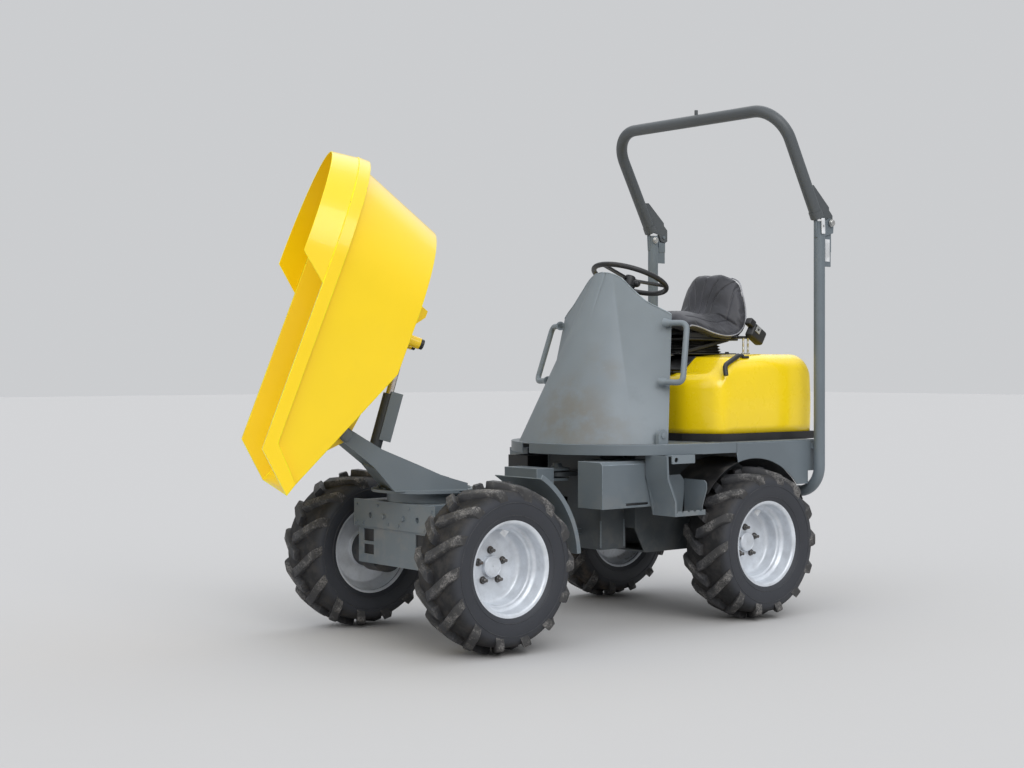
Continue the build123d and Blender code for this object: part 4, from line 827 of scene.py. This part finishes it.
def hood_top(x):
    """Height of the bonnet's crown: a shelf in front, a quick rise, nearly level, then a round tail.

    Shelf and rises are a sum of smooth steps; the tail drops 95 mm as 1 - sqrt(1 - 0.97 t^2), scaled to 1."""
    shelf = 1.196 + 0.079 * step_up(-x, 0.635, 0.750) + 0.015 * step_up(-x, 0.74, 1.00)
    tail = np.clip((-x - 1.215) / 0.120, 0, 1)
    return shelf - 0.095 * (1 - np.sqrt(1 - 0.97 * tail ** 2)) / (1 - np.sqrt(0.03))


def hood():
    """Plan outline carried up the wall, round the shoulder and in over the crown to its middle line.

    At share t of the shoulder's quarter circle: inset r (1 - cos), drop r (1 - sin) below hood_top(x)."""
    side = [(HOOD_REAR, 0), (HOOD_REAR, HOOD_HALF), (HOOD_FRONT - HOOD_CUT, HOOD_HALF),
            (HOOD_FRONT, HOOD_NOSE)]
    corners = side + [(x, -y) for x, y in side[::-1]]
    outline = rounded(corners, [0, 0.075, 0.05, 0.045, 0.045, 0.05, 0.075, 0], 9)
    ring = along(outline, np.linspace(0, lengths(outline)[-1], 241)[:-1])
    spine = np.stack([np.clip(ring[:, 0], HOOD_REAR + 0.30, HOOD_FRONT - 0.25), np.zeros(len(ring))], 1)
    inward = spine - ring
    reach = np.linalg.norm(inward, axis=1)[:, None]
    inward /= reach
    rows = []
    for share in np.linspace(0, 1, 9):
        level = BONNET_LOW + (hood_top(ring[:, 0]) - SHOULDER_R - BONNET_LOW) * share
        rows.append(np.column_stack([ring + inward * (WALL_INSET - BELLY * sin(pi * share)), level]))
    for a in np.linspace(0, pi / 2, 9)[1:]:
        flat = ring + inward * (WALL_INSET + SHOULDER_R * (1 - cos(a)))
        rows.append(np.column_stack([flat, hood_top(flat[:, 0]) - SHOULDER_R * (1 - sin(a))]))
    for share in np.linspace(0, 1, 13)[1:]:
        flat = ring + inward * (WALL_INSET + SHOULDER_R + (reach - WALL_INSET - SHOULDER_R) * share)
        rows.append(np.column_stack([flat, hood_top(flat[:, 0])]))
    return np.stack(rows)


# the hood closes at its middle line, and its faces point outward before the wall gets its thickness
hood_piece = piece("hood", [outward(grid(hood(), wrap_v=True))], "bonnet_yellow", "bonnet",
                   instead=["bonnet"], crease=50)
shape = bmesh.new()
shape.from_mesh(hood_piece.data)
bmesh.ops.remove_doubles(shape, verts=shape.verts, dist=0.0002)
bmesh.ops.recalc_face_normals(shape, faces=shape.faces)
top_face = max(shape.faces, key=lambda f: f.calc_center_median().z)
if top_face.normal.z < 0:
    bmesh.ops.reverse_faces(shape, faces=shape.faces)
shape.to_mesh(hood_piece.data)
shape.free()
wall = hood_piece.modifiers.new("wall", "SOLIDIFY")
wall.thickness, wall.offset = 0.006, -1.0
for side in BOTH:
    arm = block((0.028, 0.012, 0.052), (HINGE_X, side * HINGE_Y, 0.904), 0.003)
    foot = block((0.030, 0.012, 0.022), (HINGE_X + 0.012, side * HINGE_Y, 0.920), 0.003)
    piece(f"hood_knuckle_{(side + 1) // 2}", [arm, foot], "bonnet_yellow", "bonnet")


# ---------------------------------------------------------------- seat
# side view of the seat's face from its front lip to the top of its back: X, Z
SEAT_SPINE = [(-0.662, 1.418), (-0.690, 1.446), (-0.760, 1.452), (-0.860, 1.440), (-0.945, 1.436),
              (-1.005, 1.452), (-1.038, 1.505), (-1.062, 1.590), (-1.085, 1.660), (-1.101, 1.690)]
SEAT_ROWS, SEAT_COLS = 70, 41
SHELL_LEAST, VOXEL = 0.004, 0.0064
PUFF_ROOM, PUFF_CAP, PRESSURE, CLOTH_STEPS = 0.004, 0.009, 4.0, 16
# sewn channels: distance from the middle, and the width and depth of their grooves
BACK_CHANNELS, PAN_CHANNELS = (-0.125, -0.062, 0.0, 0.062, 0.125), (-0.118, -0.040, 0.040, 0.118)
GROOVE_WIDE, BACK_DEEP, PAN_DEEP = 0.0042, 0.0058, 0.0052


def seat_line():
    """Centre line of the seat's face, its normals, and the share of the line at each of its points."""
    line = smooth_line(SEAT_SPINE, SEAT_ROWS)
    ahead = unit(np.gradient(line, axis=0))
    return line, np.stack([-ahead[:, 1], ahead[:, 0]], 1), np.linspace(0, 1, SEAT_ROWS)


def seat_corner(s):
    """1 along the seat and less at its round ends: sqrt(1 - t^2.2) to the top, sqrt(1 - t^2) to the lip."""
    top = np.clip((s - 0.86) / 0.16, 0, 1) ** 2.2
    lip = np.clip((0.07 - s) / 0.10, 0, 1) ** 2
    return np.sqrt(np.clip(1 - top, 0, 1)) * np.sqrt(np.clip(1 - lip, 0, 1))


def seat_width(s):
    """Half width: 222 mm, 16 mm more past the bend, 78 mm less to the top, times 0.42 + 0.58 corner."""
    half = 0.222 + 0.016 * step_up(s, 0.30, 0.55) - 0.078 * step_up(s, 0.60, 1.0)
    return half * (0.42 + 0.58 * seat_corner(s))


def seat_wing(s):
    """Height of the side bolsters: 26 + 52 sin(pi t)^1.5 mm, low at both ends and highest in the bend."""
    return 0.026 + 0.052 * np.sin(pi * np.clip((s - 0.05) / 0.90, 0, 1)) ** 1.5


def bucket():
    """Closed bucket seat over s along its line and v from -1 to 1 across it, at y = width(s) v.

    Face = line + n (bolster + 10 mm (1 - v^2) * rim - room), with rim sqrt(1 - |v|^14) and room for the cloth
    to puff up. Back = line + n (0.8 bolster - thickness * rim - least + room), with thickness
    50 - 20 |v|^3 mm, less at the corners."""
    line, normal, s = seat_line()
    s, v = s[:, None], np.linspace(-1, 1, SEAT_COLS)[None, :]
    bolster = seat_wing(s) * step_up(np.abs(v), 0.52, 0.97)
    crown = 0.010 * (1 - v ** 2)
    thick = (0.050 - 0.020 * np.abs(v) ** 3) * (0.55 + 0.45 * seat_corner(s))
    rim = np.sqrt(np.clip(1 - np.abs(v) ** 14, 0, 1))

    def place(lift):
        xz = line[:, None] + normal[:, None] * lift[..., None]
        return np.stack([xz[..., 0], seat_width(s) * v, xz[..., 1]], -1)
    face = place(bolster + crown * rim - PUFF_ROOM)
    back = place(bolster * 0.8 - thick * rim - SHELL_LEAST + PUFF_ROOM)
    return closed(np.concatenate([face, back[:, ::-1]], axis=1))


def into_cushion(made):
    """Remesh, blow up a little as cloth, cap how far each point goes, and leave a plain mesh."""
    bpy.context.view_layer.objects.active = made
    remesh = made.modifiers.new("remesh", "REMESH")
    remesh.mode, remesh.voxel_size = "VOXEL", VOXEL
    bpy.ops.object.modifier_apply(modifier=remesh.name)
    start = read_points(made.data)
    cloth = made.modifiers.new("cloth", "CLOTH")
    cloth.settings.use_pressure = True
    cloth.settings.uniform_pressure_force = PRESSURE
    cloth.settings.quality = 4
    cloth.settings.effector_weights.gravity = 0.0
    for step in range(1, CLOTH_STEPS + 1):
        SCENE.frame_set(step)
    puffed = made.evaluated_get(bpy.context.evaluated_depsgraph_get())
    shift = read_points(puffed.data) - start
    far = np.linalg.norm(shift, axis=1)[:, None]
    share = np.minimum(1, PUFF_CAP / np.maximum(far, 1e-9))
    made.modifiers.remove(cloth)
    SCENE.frame_set(1)
    made.data.vertices.foreach_set("co", (start + shift * share).ravel())
    finer = made.modifiers.new("finer", "SUBSURF")
    finer.levels = finer.render_levels = 1
    bpy.ops.object.modifier_apply(modifier=finer.name)


def groove(off, width):
    """Cross-section of a sewn groove: exp(-(off / width)^2)."""
    return np.exp(-(off / width) ** 2)


def sewn(points, normals):
    """Depth of the sewing: grooves along curves on the back and the cushion, and a seam on each side."""
    x, y, z = points.T
    depth = np.zeros(len(points))
    facing_out = np.clip((normals[:, 0] * 0.6 + normals[:, 2]) * 2.5, 0, 1)
    height = np.clip((z - 1.47) / 0.21, 0, 1)
    on_back = step_up(z, 1.462, 1.485) * (1 - step_up(z, 1.668, 1.684))
    for base in BACK_CHANNELS:
        course = base * (0.72 + 0.62 * height - 0.34 * np.sin(pi * height))
        depth += BACK_DEEP * groove(y - course, GROOVE_WIDE) * on_back
    on_pan = (1 - step_up(z, 1.455, 1.47)) * step_up(-x, 0.70, 0.73) * (1 - step_up(-x, 0.965, 0.985))
    for base in PAN_CHANNELS:
        course = base * (1 + 0.20 * np.sin(pi * np.clip((-x - 0.70) / 0.27, 0, 1)))
        depth += PAN_DEEP * groove(y - course, GROOVE_WIDE) * on_pan
    seam = 0.004 * groove(np.abs(y) - 0.172, 0.0038) * step_up(-x, 0.69, 0.72)
    return (depth + seam) * facing_out


seat = piece("seat", [bucket()], "black_vinyl", "bonnet", crease=180)
into_cushion(seat)
skin, normals = read_points(seat.data), read_points(seat.data, "normal")
seat.data.vertices.foreach_set("co", (skin - normals * sewn(skin, normals)[:, None]).ravel())
seat.data.update()
smooth_faces(seat.data)
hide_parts("seat_cushion", "seat_back")


def seat_edge(side):
    """Line along one side of the bucket's lip, a little under the top of its bolster."""
    line, normal, s = seat_line()
    x, z = (line + normal * (seat_wing(s) * 0.84 - 0.012)[:, None]).T
    return np.stack([x, side * (seat_width(s) + 0.002), z], 1)


left_edge, right_edge = (seat_edge(side) for side in BOTH)
t = np.linspace(0, 1, 14)[1:-1, None]
trim = np.vstack([left_edge[4:], left_edge[-1] * (1 - t) + right_edge[-1] * t, right_edge[:3:-1]])
piece("seat_piping", [pipe(trim, 0.0036, 10, flat=(0.3, 0.0, 1.0))], "black_vinyl", "bonnet", look=PIPING)


def bellows():
    """Rubber bellows: half * (sgn(cos a) |cos a|^0.5, sgn(sin a) |sin a|^0.5), a rounded square.

    Half tapers with height and swells in five folds: 150 mm * (1 - 0.10 level + 0.035 cos(10 pi level))."""
    a, level = circle(96), np.linspace(0, 1, 41)[:, None]
    half = 0.150 * (1 - 0.10 * level + 0.035 * np.cos(2 * pi * level * 5))
    x, y = (np.sign(part) * np.abs(part) ** 0.5 for part in (np.cos(a), np.sin(a)))
    return closed(np.stack([-0.880 + half * x, half * y, 1.289 + 0.070 * level + 0 * x], -1))


# what carries the seat: bellows, top plate, slide rails and linkage, cross bars, back plate, foot, bolts
seat_under = [bellows(), block((0.365, 0.380, 0.012), (-0.8875, 0, 1.366))]
for side in BOTH:
    seat_under.append(block((0.330, 0.028, 0.030), (-0.885, side * 0.168, 1.386)))
    seat_under.append(block((0.300, 0.010, 0.018), (-0.880, side * 0.158, 1.335), 0.003, turn_y(0.20 * side)))
seat_under += [block((0.026, 0.350, 0.020), (x, 0, 1.398)) for x in (-0.735, -0.885, -1.035)]
seat_under.append(block((0.022, 0.300, 0.230), (-1.120, 0, 1.480), 0.006, turn_y(-0.30)))
seat_under.append(block((0.420, 0.330, 0.007), (-0.875, 0, 1.2925), 0.003))
seat_under += bolts([(-0.700, 0.12, 1.2955), (-0.700, -0.12, 1.2955), (-1.06, 0.12, 1.2955)], (0, 0, 1))
piece("seat_frame", seat_under, "black_plastic", "bonnet", instead=["seat_base"])
piece("bonnet_mat", [block((0.110, 0.420, 0.008), (-0.694, 0, 1.243), 0.003, turn_y(radians(37))),
                     block((0.075, 0.440, 0.008), (-0.605, 0, 1.200), 0.003)], "black_plastic", "bonnet")

REEL_TURN, REEL_AT = turn_y(radians(-32)), np.array((-1.096, 0.286, 1.392))
STUD_Y, STUD_FOOT, STUD_TOP = 0.272, 1.286, 1.372


def on_reel(size, off, radius):
    """Block turned with the belt reel, off from its middle along its own axes."""
    return block(size, REEL_AT + REEL_TURN @ off, radius, REEL_TURN)


piece("belt_reel_case", [on_reel((0.104, 0.052, 0.078), (0.0, 0.0, 0.0), 0.014),
                         on_reel((0.046, 0.040, 0.040), (0.064, 0.0, 0.028), 0.009),
                         block((0.150, 0.036, 0.014), (-1.062, 0.256, 1.376)),
                         block((0.060, 0.120, 0.014), (-1.010, 0.200, 1.376))],
      "black_plastic", "bonnet", instead=["belt_reel"])
piece("belt_reel_plate", [on_reel((0.034, 0.0025, 0.034), (0.020, 0.0272, 0.014), 0.001)],
      "rod_chrome", "bonnet", look=ZINC)
# painted shade: a thin black square on the plate stands for the dark inside its slot
piece("belt_reel_slot_shade", [on_reel((0.011, 0.003, 0.011), (0.020, 0.0282, 0.014), 0.0012)],
      "black_plastic", "bonnet")
belt_studs = []
for x in (-1.018, -1.052):
    foot, top = (x, STUD_Y, STUD_FOOT), (x, STUD_Y, STUD_TOP)
    belt_studs.append(threaded(foot, top, 0.0052, 0.0006, 22, 70, sides=10, flat=(1, 0, 0)))
    belt_studs.append(moved(bolt_head(0.0095, 0.008), by=(x, STUD_Y, STUD_FOOT + 0.003)))
piece("belt_studs", belt_studs, "rod_chrome", "bonnet", look=ZINC)

# the bonnet lever's bar, and the grip over its outer end
LEVER = [(-0.850, 0.430, 1.262), (-0.836, 0.434, 1.284), (-0.790, 0.450, 1.281), (-0.662, 0.478, 1.233),
         (-0.655, 0.493, 1.186)]
GRIP = [*LEVER[2:4], (-0.655, 0.493, 1.184)]
piece("bonnet_lever", [pipe(rounded(LEVER, 0.020), 0.008), pipe(rounded(GRIP, 0.024), 0.0120, flat=(0, 1, 1)),
                       block((0.045, 0.035, 0.012), (-0.850, 0.430, 1.274))], "black_plastic", "bonnet")

# a handle from its upper foot round to its lower one, for the left side, and the flare of its welded collars
HANDLE = [(-0.350, 0.376, 1.436), (-0.394, 0.487, 1.434), (-0.322, 0.529, 1.151), (-0.292, 0.408, 1.155)]
HANDLE_R, COLLAR_R, COLLAR_SHARE = 0.0142, np.array([0.023, 0.021, 0.017, 0.0146]), 0.42
handles = []
for side in BOTH:
    path = rounded([(x, side * y, z) for x, y, z in HANDLE], 0.036, 8)
    handles.append(pipe(path, HANDLE_R, 20, flat=(0.5, side * 0.5, 0.2)))
    for end, inner in ((0, 1), (-1, -2)):
        reach = path[end] + (path[inner] - path[end]) * COLLAR_SHARE
        handles.append(rod(path[end], reach, COLLAR_R, 4))
piece("handles", handles, "light_grey_paint", "rear_frame", instead=["grab_handles"])


# ---------------------------------------------------------------- bolts, pins and fittings
PLATE_FACE = 0.9672
head_bolts = bolts([(PLATE_FACE + 0.0005, side * 0.075, 0.553) for side in BOTH], (1, 0, 0), 0.010, 0.008)
small_bolts = bolts([(PLATE_FACE, side * y, z) for side in BOTH for y, z in (
    (0.285, 0.598), (0.285, 0.520), (0.120, 0.600), (0.235, 0.515), (0.04, 0.520))], (1, 0, 0), 0.0055, 0.004)
piece("front_plate_bolts", head_bolts + small_bolts, "grey_paint", "front_frame")

# the nuts on the hoop's hinge pins, one on its right latch, and the pin of its left latch
HINGE, LATCH = (-1.298, 1.950), (-1.216, 1.930)
pin_caps = []
for side in BOTH:
    pin_caps.append(moved(bolt_head(0.0145, 0.012, turn=0.3), facing((0, side, 0)),
                          (HINGE[0], side * (POST_Y + 0.018), HINGE[1])))
pin_caps.append(moved(bolt_head(0.014, 0.012, turn=0.2), facing((0, 1, 0)),
                      (LATCH[0], 0.028 - POST_Y, LATCH[1])))
pin_caps.append(pipe([(LATCH[0], y, LATCH[1]) for y in (0.600, 0.615, 0.631)], 0.006, flat=(1, 0, 0)))
piece("hoop_pin_nuts", pin_caps, "rod_chrome", "rear_frame", look=ZINC)
catches = []
for side in BOTH:
    catches.append(block((0.012, 0.020, 0.105), (-1.196, side * 0.597, 1.925), turn=turn_y(0.06)))
    catches.append(block((0.050, 0.008, 0.056), (-1.290, side * 0.592, 1.893), 0.0035))
catches.append(block((0.062, 0.005, 0.170), (-1.279, 0.5953, 1.815), 0.0015))
piece("hoop_catches", catches, "grey_paint", "rear_frame")
piece("post_labels", [block((0.026, 0.004, 0.078), (LATCH[0], 0.628, LATCH[1]), 0.0019, turn_y(0.05)),
                      block((0.034, 0.003, 0.112), (-1.282, 0.5992, 1.812), 0.0012)],
      "rim_paint", "rear_frame", look=BLANK_WHITE)
sleeves = []
for side in BOTH:
    foot, top = (-1.2072, side * POST_Y, 1.974), (-1.1905, side * POST_Y, 2.006)
    sleeves.append(rod(foot, top, 0.0335, sides=28, flat=(0, 1, 0)))
# the sleeves in the hoop's darker grey: painted shade
piece("hoop_sleeves", sleeves, "grey_paint", "rops_hoop", look=HOOP_PAINTED_SHADE)

WHEEL_HUB, WHEEL_TURN = np.array((-0.470, 0, 1.632)), facing((-0.36, 0, 0.933))
piece("wheel_cap", [moved(round_head(0.024, 0.012), WHEEL_TURN, WHEEL_HUB + WHEEL_TURN @ (0, 0, 0.040))],
      "black_plastic", "steering_wheel")
piece("pivot_nuts", [moved(bolt_head(0.020, 0.014, washer=1.2), by=(0, 0, z)) for z in (0.749, 0.469)],
      "grey_paint", "front_frame")
tip_caps = [moved(bolt_head(0.022, 0.010, washer=1.25), facing(turn_z(SWIVEL) @ (0, side, 0)),
                  on_swivel(TIP_U, side * 0.213, TIP_Z)) for side in BOTH]
piece("tip_pin_caps", tip_caps, "grey_paint", "turntable")

# the turntable's ring of bolts, without those that its two arms cover
BOLT_CIRCLE, ARM_INNER, PLATE_TOP = 0.205, 0.18, 0.680
ring = [on_swivel(BOLT_CIRCLE * cos(a), BOLT_CIRCLE * sin(a), PLATE_TOP) for a in circle(16)
        if abs(BOLT_CIRCLE * sin(a)) < ARM_INNER]
piece("turntable_bolts", bolts(ring, (0, 0, 1), 0.009, 0.007), "grey_paint", "turntable")
pads = [on_skip(moved(round_head(0.0235, 0.020), turn_x(pi), (-0.492, side * 0.088, -0.188)))
        for side in BOTH]
piece("rest_pads", pads, "black_plastic", "skip")


# ---------------------------------------------------------------- welds and seams
def bead(start, end, radius=0.0045):
    """Weld bead: a thin half-sunk rope whose radius ripples along it as 1 + 0.18 sin(2 pi s / 11 mm)."""
    path = np.array([start, end], float)
    run = lengths(path)[-1]
    s = np.linspace(0, run, max(8, int(run / 0.006)))
    return pipe(along(path, s), radius * (1 + 0.18 * np.sin(s * 2 * pi / 0.011)), 8, flat=(0.31, 0.22, 0.92))


HEAD_Y = 0.190
arm_beads = [bead(*(on_swivel(u, side * y, PLATE_TOP + 0.0003) for u in (-0.155, 0.165)))
             for side in BOTH for y in (0.188, 0.200)]
piece("arm_welds", arm_beads, "grey_paint", "turntable", look=WELD)
head_beads = [bead((x, side * HEAD_Y, z), (x, side * HEAD_Y, z + 0.13))
              for x in (-0.110, -0.262) for side in BOTH for z in (0.36, 0.66)]
head_beads += [bead((-0.112, -0.054, z), (-0.112, 0.054, z)) for z in (0.420, 0.440, 0.700, 0.720)]
piece("head_welds", head_beads, "grey_paint", "rear_frame", look=WELD)
neck_beads = [bead((0.420, side * 0.120, 0.365), (0.420, side * 0.120, 0.620)) for side in BOTH]
neck_beads += [bead((0.956, side * 0.250, 0.50), (0.956, side * 0.250, 0.62), 0.003) for side in BOTH]
piece("neck_welds", neck_beads, "grey_paint", "front_frame", look=WELD)

seam = [block((0.0016, 0.0012, 0.048), (-0.6705, side * 0.5503, 0.837), 0.0005) for side in BOTH]
piece("deck_seam", seam, "black_plastic", "rear_frame")
# painted shade: a thin black strip on the toolbox's side stands for the dark inside its slot
piece("toolbox_slot_shade", [block((0.140, 0.003, 0.009), (-0.130, 0.4195, 0.584), 0.001)],
      "black_plastic", "rear_frame")
# painted shade: flat black discs on the plate stand for the dark inside its holes
hole_shades = [moved(round_head(0.006, 0.0012), facing((0, side, 0)), (-0.136, side * (HEAD_Y - 0.0002), z))
         for side in BOTH for z in (0.672, 0.594)]
piece("head_hole_shades", hole_shades, "black_plastic", "rear_frame")


def arch_liner(side):
    """Sheet 3 mm thick over a rear wheel, from the chassis outward: (r cos a, y, r sin a) about the axle."""
    a = np.radians(np.linspace(38, 152, 40))[:, None]
    r, y = np.array([0.408, 0.408, 0.411, 0.411]), side * np.array([0.276, 0.542, 0.542, 0.276])
    return closed(np.stack([-HALF_BASE + r * np.cos(a), y + 0 * a, TYRE_R + r * np.sin(a)], -1))


piece("arch_liners", [arch_liner(side) for side in BOTH], "black_plastic", "rear_frame")

# plates seen edge-on: the hoop's gussets over X and Z, the steps' rear cheeks over Y and Z
GUSSET = [(-1.142, 2.084), (-1.150, 2.133), (-1.183, 2.135), (-1.300, 2.031), (-1.304, 2.000),
          (-1.200, 2.000)]
CHEEK = [(0.432, 0.534), (0.546, 0.534), (0.551, 0.570), (0.566, 0.612), (0.578, 0.648), (0.577, 0.676),
         (0.562, 0.690), (0.432, 0.692)]
# the gussets in the hoop's darker grey: painted shade
piece("hoop_gussets", [slab(GUSSET, side * 0.5855, side * 0.5945) for side in BOTH],
      "grey_paint", "rops_hoop", look=HOOP_PAINTED_SHADE)
cheeks = [moved(slab([(side * y, z) for y, z in CHEEK], 0.4305, 0.4355), turn_z(pi / 2)) for side in BOTH]
piece("step_cheeks", cheeks, "grey_paint", "rear_frame")
# painted shade: thin black sheets set back in the front plate's windows stand for the dark inside them
window_shades = [block((0.0012, 0.079, high - low), (0.9557, side * 0.200, (low + high) / 2), 0.0004)
        for side in BOTH for low, high in ((0.3755, 0.4195), (0.4345, 0.4895))]
piece("front_plate_window_shades", window_shades, "black_plastic", "front_frame")
piece("seat_pan_filler", [block((0.270, 0.330, 0.040), (-0.860, 0, 1.4035), 0.012)],
      "black_plastic", "bonnet")


# ---------------------------------------------------------------- floor, light and camera
def floor_paint():
    """One plain pale colour without gloss."""
    look = Look("pale floor", 0.85)
    look.shader.inputs["Base Color"].default_value = (0.53, 0.52, 0.51, 1)
    look.shader.inputs["Specular IOR Level"].default_value = 0.0
    return look.material


def flat_floor():
    """Square floor at Z = 0."""
    half = 60
    mesh = bpy.data.meshes.new("floor")
    corners = [(-half, -half, 0), (half, -half, 0), (half, half, 0), (-half, half, 0)]
    mesh.from_pydata(corners, [], [(0, 1, 2, 3)])
    mesh.materials.append(floor_paint())
    floor = bpy.data.objects.new("floor", mesh)
    SCENE.collection.objects.link(floor)


class Sky(Look):
    """The world's own shader tree: paler light from overhead, and plain grey where it is seen."""

    def __init__(self, world):
        self.tree = world.node_tree
        self.tree.nodes.remove(self.tree.nodes["Background"])
        height = self.split(self.node("ShaderNodeTexCoord", {}, out="Generated"))[2]
        low = self.node("ShaderNodeBackground", {}, (0.86, 0.88, 0.91, 1.0), 0.42)
        high = self.node("ShaderNodeBackground", {}, (0.90, 0.94, 1.0, 1.0), 1.15)
        seen = self.node("ShaderNodeBackground", {}, (0.60, 0.61, 0.625, 1.0), 1.0)
        light = self.node("ShaderNodeMixShader", {}, height.ramp(0.25, 0.72), low, high)
        camera_ray = self.node("ShaderNodeLightPath", {}, out="Is Camera Ray")
        whole = self.node("ShaderNodeMixShader", {}, camera_ray, light, seen)
        self.feed(self.tree.nodes["World Output"].inputs["Surface"], whole)


def sun(name, source, strength, spread):
    """Soft sun shining from the direction of source; spread is its size in degrees."""
    light = bpy.data.lights.new(name, "SUN")
    light.energy, light.angle = strength, radians(spread)
    thing = bpy.data.objects.new(name, light)
    thing.rotation_euler = Vector(source).to_track_quat("Z", "Y").to_euler()
    SCENE.collection.objects.link(thing)


flat_floor()
SCENE.world = bpy.data.worlds.new("studio")
SCENE.world.use_nodes = True
Sky(SCENE.world)
sun("key", (2.2, 5.8, 4.2), 1.25, 40)
sun("front", (6.0, 1.0, 3.5), 0.45, 50)
sun("behind", (-5.0, -3.5, 5.0), 0.35, 50)

SCENE.view_settings.view_transform = "Standard"
lens = bpy.data.cameras.new("camera")
camera = bpy.data.objects.new("camera", lens)
SCENE.collection.objects.link(camera)
camera.location = (5.224, 6.008, 1.222)
camera.rotation_euler = Vector((-0.635, -0.772, 0)).to_track_quat("-Z", "Y").to_euler()
lens.lens, lens.sensor_width, lens.shift_y = 58.0, 36, -0.016
SCENE.camera = camera
